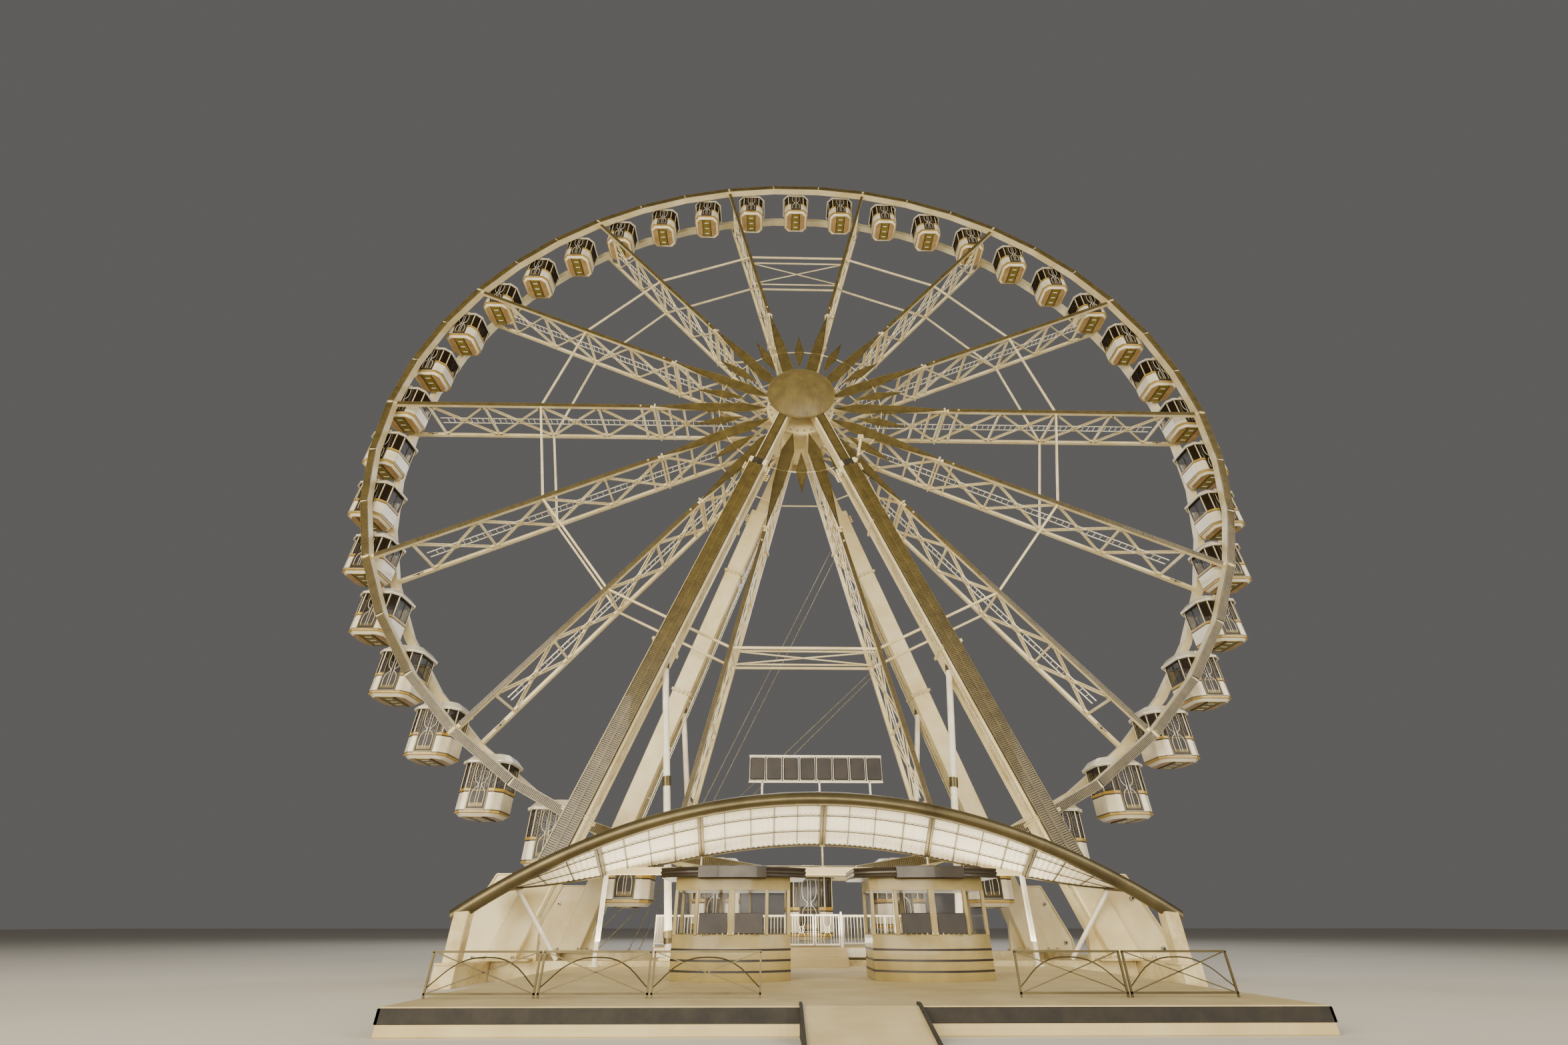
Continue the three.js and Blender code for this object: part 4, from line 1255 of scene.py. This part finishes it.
# %% Railings
def baluster_rail(start, end, y):
    """A railing along X on the station floor: handrail, foot rail, posts and round bars."""
    low, high = STATION_TOP + 0.12, STATION_TOP + 1.05
    parts = [rod((start, y, high - 0.03), (end, y, high - 0.03), 0.035, white_rail, 12),
             bar((start, y, low), (end, y, low), 0.04, 0.05, white_rail, 0.008)]
    posts = max(1, round((end - start) / 1.7))
    for i in range(posts + 1):
        x = start + 0.03 + i * (end - start - 0.06) / posts
        parts.append(block(around(x, 0.03), around(y, 0.03), (STATION_TOP, high), white_rail, 0.008))
    pitch = 0.13
    first = rod((start + 0.1, y, low), (start + 0.1, y, high - 0.04), 0.012, white_rail, 6)
    return join([*parts, repeat(first, int((end - start - 0.1) / pitch), (pitch, 0, 0))])


def deck_railing():
    """Low panels of dark flat bar along the deck, each with crossed diagonals and a bowed bar."""
    low, high, length = DECK_TOP + 0.08, DECK_TOP + 0.8, 2.3
    parts = [block((0, length), 0.02, around(z, 0.02), bronze_paint) for z in (low, high)]
    for x in (0.02, length - 0.02):
        parts.append(block(around(x, 0.02), 0.02, (DECK_TOP + SEAM, high), bronze_paint))
    for start, end in ((low, high), (high, low)):
        parts.append(bar((0.03, 0, start), (length - 0.03, 0, end), 0.02, 0.02, bronze_paint))
    bow = [(0.03, low + 0.1), (0.6, high - 0.2), (length / 2, high - 0.1), (length - 0.6, high - 0.2),
           (length - 0.03, low + 0.1)]
    parts.append(tube([(x, 0, z) for x, z in bow], 0.013, bronze_paint, 4))
    return copies(join(parts), [shift(x, -16.75, 0) for x in (-8.9, -6.55, -4.2, 3.55, 5.9)])


settle(deck_railing(), "deck_railing", "stand")


# %% Deck and station
def deck():
    """The floor with its rubber edge, and the ramp between two curbs."""
    parts = [block(DECK_HALF, (DECK_FRONT, DECK_BACK), (0, DECK_TOP), tread_plate, 0.02),
             *edging(DECK_HALF, DECK_FRONT, DECK_BACK, (0.2, 0.44), 0.02, 0.05, rubber_edge, 0.008),
             plate_across([(RAMP_FOOT, 0), (DECK_FRONT + 1, 0), (DECK_FRONT, DECK_TOP)], STAIR_HALF,
                          tread_plate)]
    curb = [(RAMP_FOOT, 0), (DECK_FRONT + 0.2, 0), (DECK_FRONT + 0.2, DECK_TOP + 0.05),
            (DECK_FRONT, DECK_TOP + 0.05), (RAMP_FOOT, 0.06)]
    for hand in (-1, 1):
        parts.append(plate_across(curb, (hand * STAIR_HALF, hand * (STAIR_HALF + 0.06)), rubber_edge))
    return join(parts)


def station():
    """The raised floor, its white side plates and the steps up to it."""
    return join([
        block(STATION_HALF, (STATION_FRONT, STATION_BACK), (0.65, STATION_TOP), tread_plate, 0.02),
        block(STAIR_HALF, (DECK_BACK - 0.1, STATION_FRONT + 0.1), (0.65, STATION_TOP), tread_plate, 0.02),
        block(STAIR_HALF, (DECK_BACK - 0.6, -5.05), (0.23, 0.73), tread_plate, 0.02),
        *edging(STATION_HALF, STATION_FRONT, STATION_BACK, (0.68, 0.96), 0.012, 0.032, white_rail, 0.006),
    ])


def station_railings():
    """Two railings in front with the steps between them, one behind, and a short one at each side."""
    front = STATION_FRONT + 0.03
    long_rails = [baluster_rail(-STATION_HALF, -STAIR_HALF, front),
                  baluster_rail(STAIR_HALF, STATION_HALF, front),
                  baluster_rail(-STATION_HALF, STATION_HALF, STATION_BACK - 0.03)]
    turned = Matrix.Rotation(math.pi / 2, 4, "Z")
    places = [shift(side * (STATION_HALF - 0.04), 0, 0) @ turned for side in (-1, 1)]
    return join([*long_rails, copies(baluster_rail(STATION_FRONT + 0.1, -1.6, 0), places)])


settle(deck(), "deck", "stand", ["boarding_platform"])
settle(station(), "station", "stand", ["boarding_platform"])
settle(station_railings(), "station_railings", "stand", ["boarding_platform"])

# %% [markdown]
# ## Gates
# Two white leaves close the way at the head of the steps. Each is a frame of flat bar with round bars, two
# of which bend in to meet a ring, the same looped pattern as on the cabin doors.

# %% Gates
GATE_PLANE = STATION_FRONT - 0.3
GATE_POST = STAIR_HALF - 0.06
GATE_AXIS = GATE_POST - 0.09
GATE_LOW, GATE_HIGH = STATION_TOP + 0.06, STATION_TOP + 1.06
GATE_BEND = [(0.13, 0.04), (0.13, 0.3), (0.07, 0.42), (0.03, 0.5), (0.07, 0.58), (0.13, 0.7), (0.13, 0.96)]
BAR_RADIUS = 0.011


def gate_leaf():
    """A leaf about its pin, reaching along +X."""
    start, end = -0.03, 0.93
    middle = (start + end) / 2
    outline = frame_of((end - start) / 2, GATE_LOW, GATE_HIGH, 0.05, 0.05, white_rail)
    parts = [put(outline, shift(middle, -0.025, 0))]
    for x in (0.1, 0.2, 0.7, 0.8):
        parts.append(rod((x, 0, GATE_LOW + 0.03), (x, 0, GATE_HIGH - 0.03), BAR_RADIUS, white_rail, 6))
    for hand in (-1, 1):
        parts.append(tube([(middle + hand * x, 0, GATE_LOW + z) for x, z in GATE_BEND], BAR_RADIUS,
                          white_rail, 4))
    ring = [on_spoke(i * TURN / 16, 0.1, 0) + Vector((middle, 0, GATE_LOW + 0.5)) for i in range(17)]
    parts += [tube(ring, BAR_RADIUS, white_rail, 4),
              rod((0, 0, STATION_TOP + SEAM), (0, 0, GATE_LOW + 0.04), 0.02, galvanised, 12)]
    return join(parts)


left_leaf = gate_leaf()
right_leaf = twin_of(left_leaf, Matrix.Diagonal((-1, 1, 1, 1)))
settle(left_leaf, "gate_leaf_left", "gate_left", ["gate_left"], (-GATE_AXIS, GATE_PLANE, 0))
settle(right_leaf, "gate_leaf_right", "gate_right", ["gate_right"], (GATE_AXIS, GATE_PLANE, 0))
gate_posts = [block(around(side * GATE_POST, 0.035), around(GATE_PLANE, 0.035), (0.7, 2.15), white_rail, 0.01)
              for side in (-1, 1)]
settle(join(gate_posts), "gate_posts", "stand", ["boarding_platform"])

# %% [markdown]
# ## Canopy
# A big bronze tube bows over the entrance from base arm to base arm. A fluted cream roof hangs behind it,
# on beams and battens, and a row of short posts carries its back edge on a straight beam. The roof is a
# grid that follows two curves, with the flutes as real waves.

# %% Canopy curves
CANOPY_HALF = 12.64
CANOPY_FRONT, CANOPY_BACK = -7.5, -5.6
CANOPY_TOP, CANOPY_END = 5.75, 1.95
BACK_TOP, BACK_END = 4.4, 2.9
ARM_X = 12.3
RISE = CANOPY_TOP - CANOPY_END
BOW = (CANOPY_HALF ** 2 + RISE ** 2) / (2 * RISE)
print("the tube is bent to a radius of", round(BOW, 2), "m")


def front_height(x):
    """The height of the bowed tube's middle."""
    return CANOPY_TOP - BOW + math.sqrt(BOW ** 2 - x ** 2)


def back_height(x):
    """The height of the roof's back edge, which is flatter and ends level."""
    share = min(1, abs(x) / CANOPY_HALF)
    return BACK_END + (BACK_TOP - BACK_END) * (0.5 + 0.5 * math.cos(math.pi * share))


def roof_point(x, share, lift=0.0):
    """A point on the roof: share 0 at the front tube, 1 at the back edge."""
    z = (1 - share) * front_height(x) + share * back_height(x)
    return Vector((x, CANOPY_FRONT + share * (CANOPY_BACK - CANOPY_FRONT), z + lift))


def evenly(half, count):
    """Places from one end of a width to the other, in this many equal steps."""
    return [i / count * 2 * half - half for i in range(count + 1)]


# %% Canopy tube and roof
FLUTES = 124


def canopy_tube():
    """The bowed tube, with five sleeves round it."""
    parts = [tube([(x, CANOPY_FRONT, front_height(x)) for x in evenly(CANOPY_HALF, 48)], 0.25,
                  bronze_paint, 20)]
    for middle in (-8.4, -4.2, 0.05, 4.2, 8.4):
        ends = [(x, CANOPY_FRONT, front_height(x)) for x in around(middle, 0.05)]
        parts.append(tube(ends, 0.262, bronze_paint, 20, smooth=False))
    return join(parts)


def fluted_point(across, back):
    """Where a point of the flat grid goes on the fluted roof."""
    wave = 0.018 * math.cos(across * math.pi * FLUTES)
    return roof_point(across * (CANOPY_HALF - 0.2), (back + 1) / 2, wave)


settle(canopy_tube(), "canopy_tube", "stand", ["canopy"])
roof = sheet(FLUTES * 4, 6, fluted_point, 0.02, 0)
roof.data.materials.append(roof_sheet)
settle(roof, "canopy_roof", "stand", ["canopy"], smooth=60)

# %% Bearers and stand
RIB_PLACES = (-10.2, -9.2, -7.2, -6.3, -5.4, -3.5, -2.5, -1.6, -0.7, 1.3, 2.3, 3.4, 5.4, 6.3, 7.2, 9.2, 10.2)
BEAM_MIDDLE_Y = CANOPY_BACK - 0.08
BEAM_Z = 3.45
DECK_SEAT = DECK_TOP + SEAM


def canopy_bearers():
    """Paired beams from the tube to the back edge, long battens across them, and thin ribs between."""
    parts = []
    for middle in (-11.2, -8.1, -4.4, 0.3, 4.4, 8.1, 11.2):
        for x in around(middle, 0.06):
            parts.append(bar(roof_point(x, 0.02, -0.09), roof_point(x, 1.0, -0.09), 0.05, 0.1, bronze_paint,
                             0.01, X_AXIS))
    for share, radius in ((0.34, 0.016), (0.68, 0.016), (1.0, 0.03)):
        batten = [roof_point(x, share, -0.05) for x in evenly(CANOPY_HALF - 0.35, 40)]
        parts.append(tube(batten, radius, bronze_paint, 4))
    for x in RIB_PLACES:
        parts.append(bar(roof_point(x, 0.03, -0.045), roof_point(x, 1.0, -0.045), 0.022, 0.03, bronze_paint,
                         0.0, X_AXIS))
    return join(parts)


def canopy_stand():
    """The rear beam on its posts, the short posts above it, and a bracket and a raking brace at each end."""
    y = BEAM_MIDDLE_Y
    parts = [block(8.2, around(y, 0.09), around(BEAM_Z, 0.13), ivory_enamel, 0.015)]
    for x in (-8, -3, 3, 8):
        parts += [block(around(x, 0.08), around(y, 0.08), (DECK_SEAT, BEAM_Z - 0.1), white_rail, 0.015),
                  block(around(x, 0.16), around(y, 0.16), (DECK_SEAT, DECK_TOP + 0.05), white_rail, 0.01)]
    for x in (-4.4, 0.3, 4.4):
        parts += [rod((x, y, BEAM_Z + 0.1), (x, y, back_height(x) - 0.05), 0.05, galvanised, 12),
                  block(around(x, 0.1), around(y, 0.1), (BEAM_Z + 0.13, BEAM_Z + 0.17), galvanised, 0.01)]
    for hand in (-1, 1):
        for half, top, bevel in ((0.25, front_height(ARM_X) - 0.05, 0.03), (0.42, FOOT_PLATE_TOP, 0.02)):
            parts.append(block(around(hand * ARM_X, half), around(CANOPY_FRONT, half), (BASE_SEAT, top),
                               beam_enamel, bevel))
        parts.append(rod((hand * 11.3, CANOPY_BACK + 0.02, 2.86), (hand * 9.6, -4.9, 0.64), 0.08,
                         white_rail, 12))
    return join(parts)


settle(canopy_bearers(), "canopy_bearers", "stand", ["canopy"])
settle(canopy_stand(), "canopy_stand", "stand", ["canopy"])

# %% [markdown]
# Above the tube stands a light frame for a sign. It carries plain blank plates with a pale edge.

# %% Sign frame
SIGN_HALF = 2.6
SIGN_LOW, SIGN_HIGH = 6.35, 7.3
SIGN_PLATES = 8


def sign():
    """Two rails on three posts, with a row of blank plates between the rails."""
    y = CANOPY_FRONT
    parts = [bar((-SIGN_HALF, y, z), (SIGN_HALF, y, z), 0.07, 0.07, white_rail, 0.01, Z_AXIS)
             for z in (SIGN_LOW, SIGN_HIGH)]
    parts += [bar((x, y, front_height(x) + 0.1), (x, y, SIGN_HIGH), 0.07, 0.07, white_rail, 0.01)
              for x in (-2.08, 0.13, 2.08)]
    pitch = 2 * SIGN_HALF / SIGN_PLATES
    half = pitch * 0.43
    for i in range(SIGN_PLATES):
        x = -SIGN_HALF + (i + 0.5) * pitch
        parts += [block(around(x, half), (y - 0.12, y - 0.04), (SIGN_LOW + 0.06, SIGN_HIGH - 0.08),
                        dark_board, 0.03),
                  block(around(x, half + 0.02), (y - 0.08, y - 0.04), (SIGN_LOW + 0.04, SIGN_HIGH - 0.06),
                        white_rail, 0.015)]
    return join(parts)


settle(sign(), "sign_frame", "stand", ["canopy"])

# %% [markdown]
# ## Ticket booths
# Each booth is a small olive-gold room with a bowed front of four windows, a dark board under the two
# middle ones, dark slats round its foot, and a dark bronze band for a roof edge. Its outline is drawn once
# and raised in rings.

# %% A booth's outline
BOOTH_HALF, BOOTH_DEPTH, BOOTH_HEIGHT = 1.65, 2.4, 2.66
BOOTH_FRONT = -12.9
BOOTH_X = 2.8


def bow_y(x):
    """The bowed front's depth at a place across it."""
    return -1.06 + 0.58 * (abs(x) / BOOTH_HALF) ** 2.2


BOOTH_OUTLINE = [(BOOTH_HALF, 1.2), (-BOOTH_HALF, 1.2)] + [
    (x, bow_y(x)) for x in [-BOOTH_HALF + i * BOOTH_HALF / 8 for i in range(17)]]
FLOOR = DECK_SEAT
COUNTER, LINTEL, EAVES = FLOOR + 1.05, FLOOR + 2.1, DECK_TOP + BOOTH_HEIGHT


# %% Walls and roof band
def booth_walls():
    """The wall up to the counter, the lintel over the windows, the glass between, and the slats."""
    walls = [column(BOOTH_OUTLINE, rings, booth_paint_and_shade) for rings in (
        [(FLOOR, 0.99), (FLOOR + 0.02, 1.0), (COUNTER - 0.02, 1.0), (COUNTER, 0.99), (COUNTER, 0.94),
         (FLOOR + 0.1, 0.94)],
        [(LINTEL, 0.94), (LINTEL, 1.0), (EAVES - 0.2, 1.0), (EAVES - 0.2, 0.94), (LINTEL + 0.04, 0.94)])]
    glass = column(BOOTH_OUTLINE, [(COUNTER - 0.02, 0.97), (COUNTER - 0.02, 0.975), (LINTEL + 0.02, 0.975),
                                   (LINTEL + 0.02, 0.97)], window_glass)
    slats = [column(BOOTH_OUTLINE, [(z, 0.99), (z, 1.004), (z + 0.05, 1.004), (z + 0.05, 0.99)], dark_board)
             for z in (FLOOR + 0.2, FLOOR + 0.44, FLOOR + 0.68)]
    return [*walls, glass, *slats]


def booth_roof():
    """The moulded band round the roof, and the brow over the bowed front."""
    drops = ((0.25, 1.2), (0.25, 1.26), (0.23, 1.28), (0.17, 1.26), (0.14, 1.28), (0.1, 1.28), (0.07, 1.26),
             (0.03, 1.28), (0, 1.27))
    band = column(BOOTH_OUTLINE, [(EAVES - drop, scale) for drop, scale in drops], dark_bronze)
    outline = [(0.96, -0.5), (-0.96, -0.5)] + [
        (x, 1.28 * bow_y(x / 1.28) - 0.07) for x in [i / 8 * 0.96 for i in range(-8, 9)]]
    brow = column(outline, [(EAVES - 0.29, 0.98), (EAVES - 0.27, 1.0), (EAVES, 1.0), (EAVES + 0.02, 0.98)],
                  dark_bronze)
    return [band, brow]


# %% Posts, boards and counter
def booth_fittings():
    """The window posts, the pins along the counter, the back posts, two dark boards and the shelf."""
    parts = []
    for x, half in ((-1.6, 0.05), (-0.98, 0.05), (0, 0.09), (0.98, 0.05), (1.6, 0.05)):
        parts.append(block(around(x, half), (bow_y(x) - 0.02, bow_y(x) + 0.09),
                           (COUNTER - 0.02, LINTEL + 0.02), booth_paint_and_shade, 0.012))
    for i in range(12):
        x = -0.8 + i * 1.6 / 11
        y = bow_y(x) - 0.01
        parts.append(rod((x, y, COUNTER), (x, y, COUNTER + 0.05), 0.016, white_rail, 6))
    for x, low in ((-1.6, COUNTER), (-0.45, COUNTER - 1), (0.45, COUNTER - 1), (1.6, COUNTER)):
        parts.append(block(around(x, 0.05), (1.1, 1.21), (low, LINTEL + 0.02), booth_paint_and_shade, 0.012))
    board_y = (bow_y(0.5) - 0.06, bow_y(0.5) - 0.02)
    for hand in (-1, 1):
        parts.append(block((hand * 0.1, hand * 0.88), board_y, (COUNTER + 0.02, COUNTER + 0.5),
                           dark_board, 0.01))
    return [*parts, block(1.2, (-0.75, -0.35), (COUNTER - 0.12, COUNTER - 0.06), bench_vinyl, 0.015)]


# %% Two booths
first_booth = join([*booth_walls(), *booth_roof(), *booth_fittings()])
for hand, hand_name in HANDS:
    node = f"ticket_booth_{hand_name}"
    settle(twin_of(first_booth), f"{node}_dressed", "stand", [node],
           (hand * BOOTH_X, BOOTH_FRONT + BOOTH_DEPTH / 2, 0))
bpy.data.objects.remove(first_booth)

# %% [markdown]
# ## Floor
# A plain pale floor, larger than the camera sees, which isn't part of the object.

# %% Floor
bpy.ops.object.select_all(action="DESELECT")
bpy.ops.mesh.primitive_plane_add(size=260)
floor = bpy.context.object
floor.name = "studio_floor"
floor.data.materials.append(mottled("pale_floor", "#d8d3c6", "#d2ccbe", 4000, 60, 0.85, 0.05))
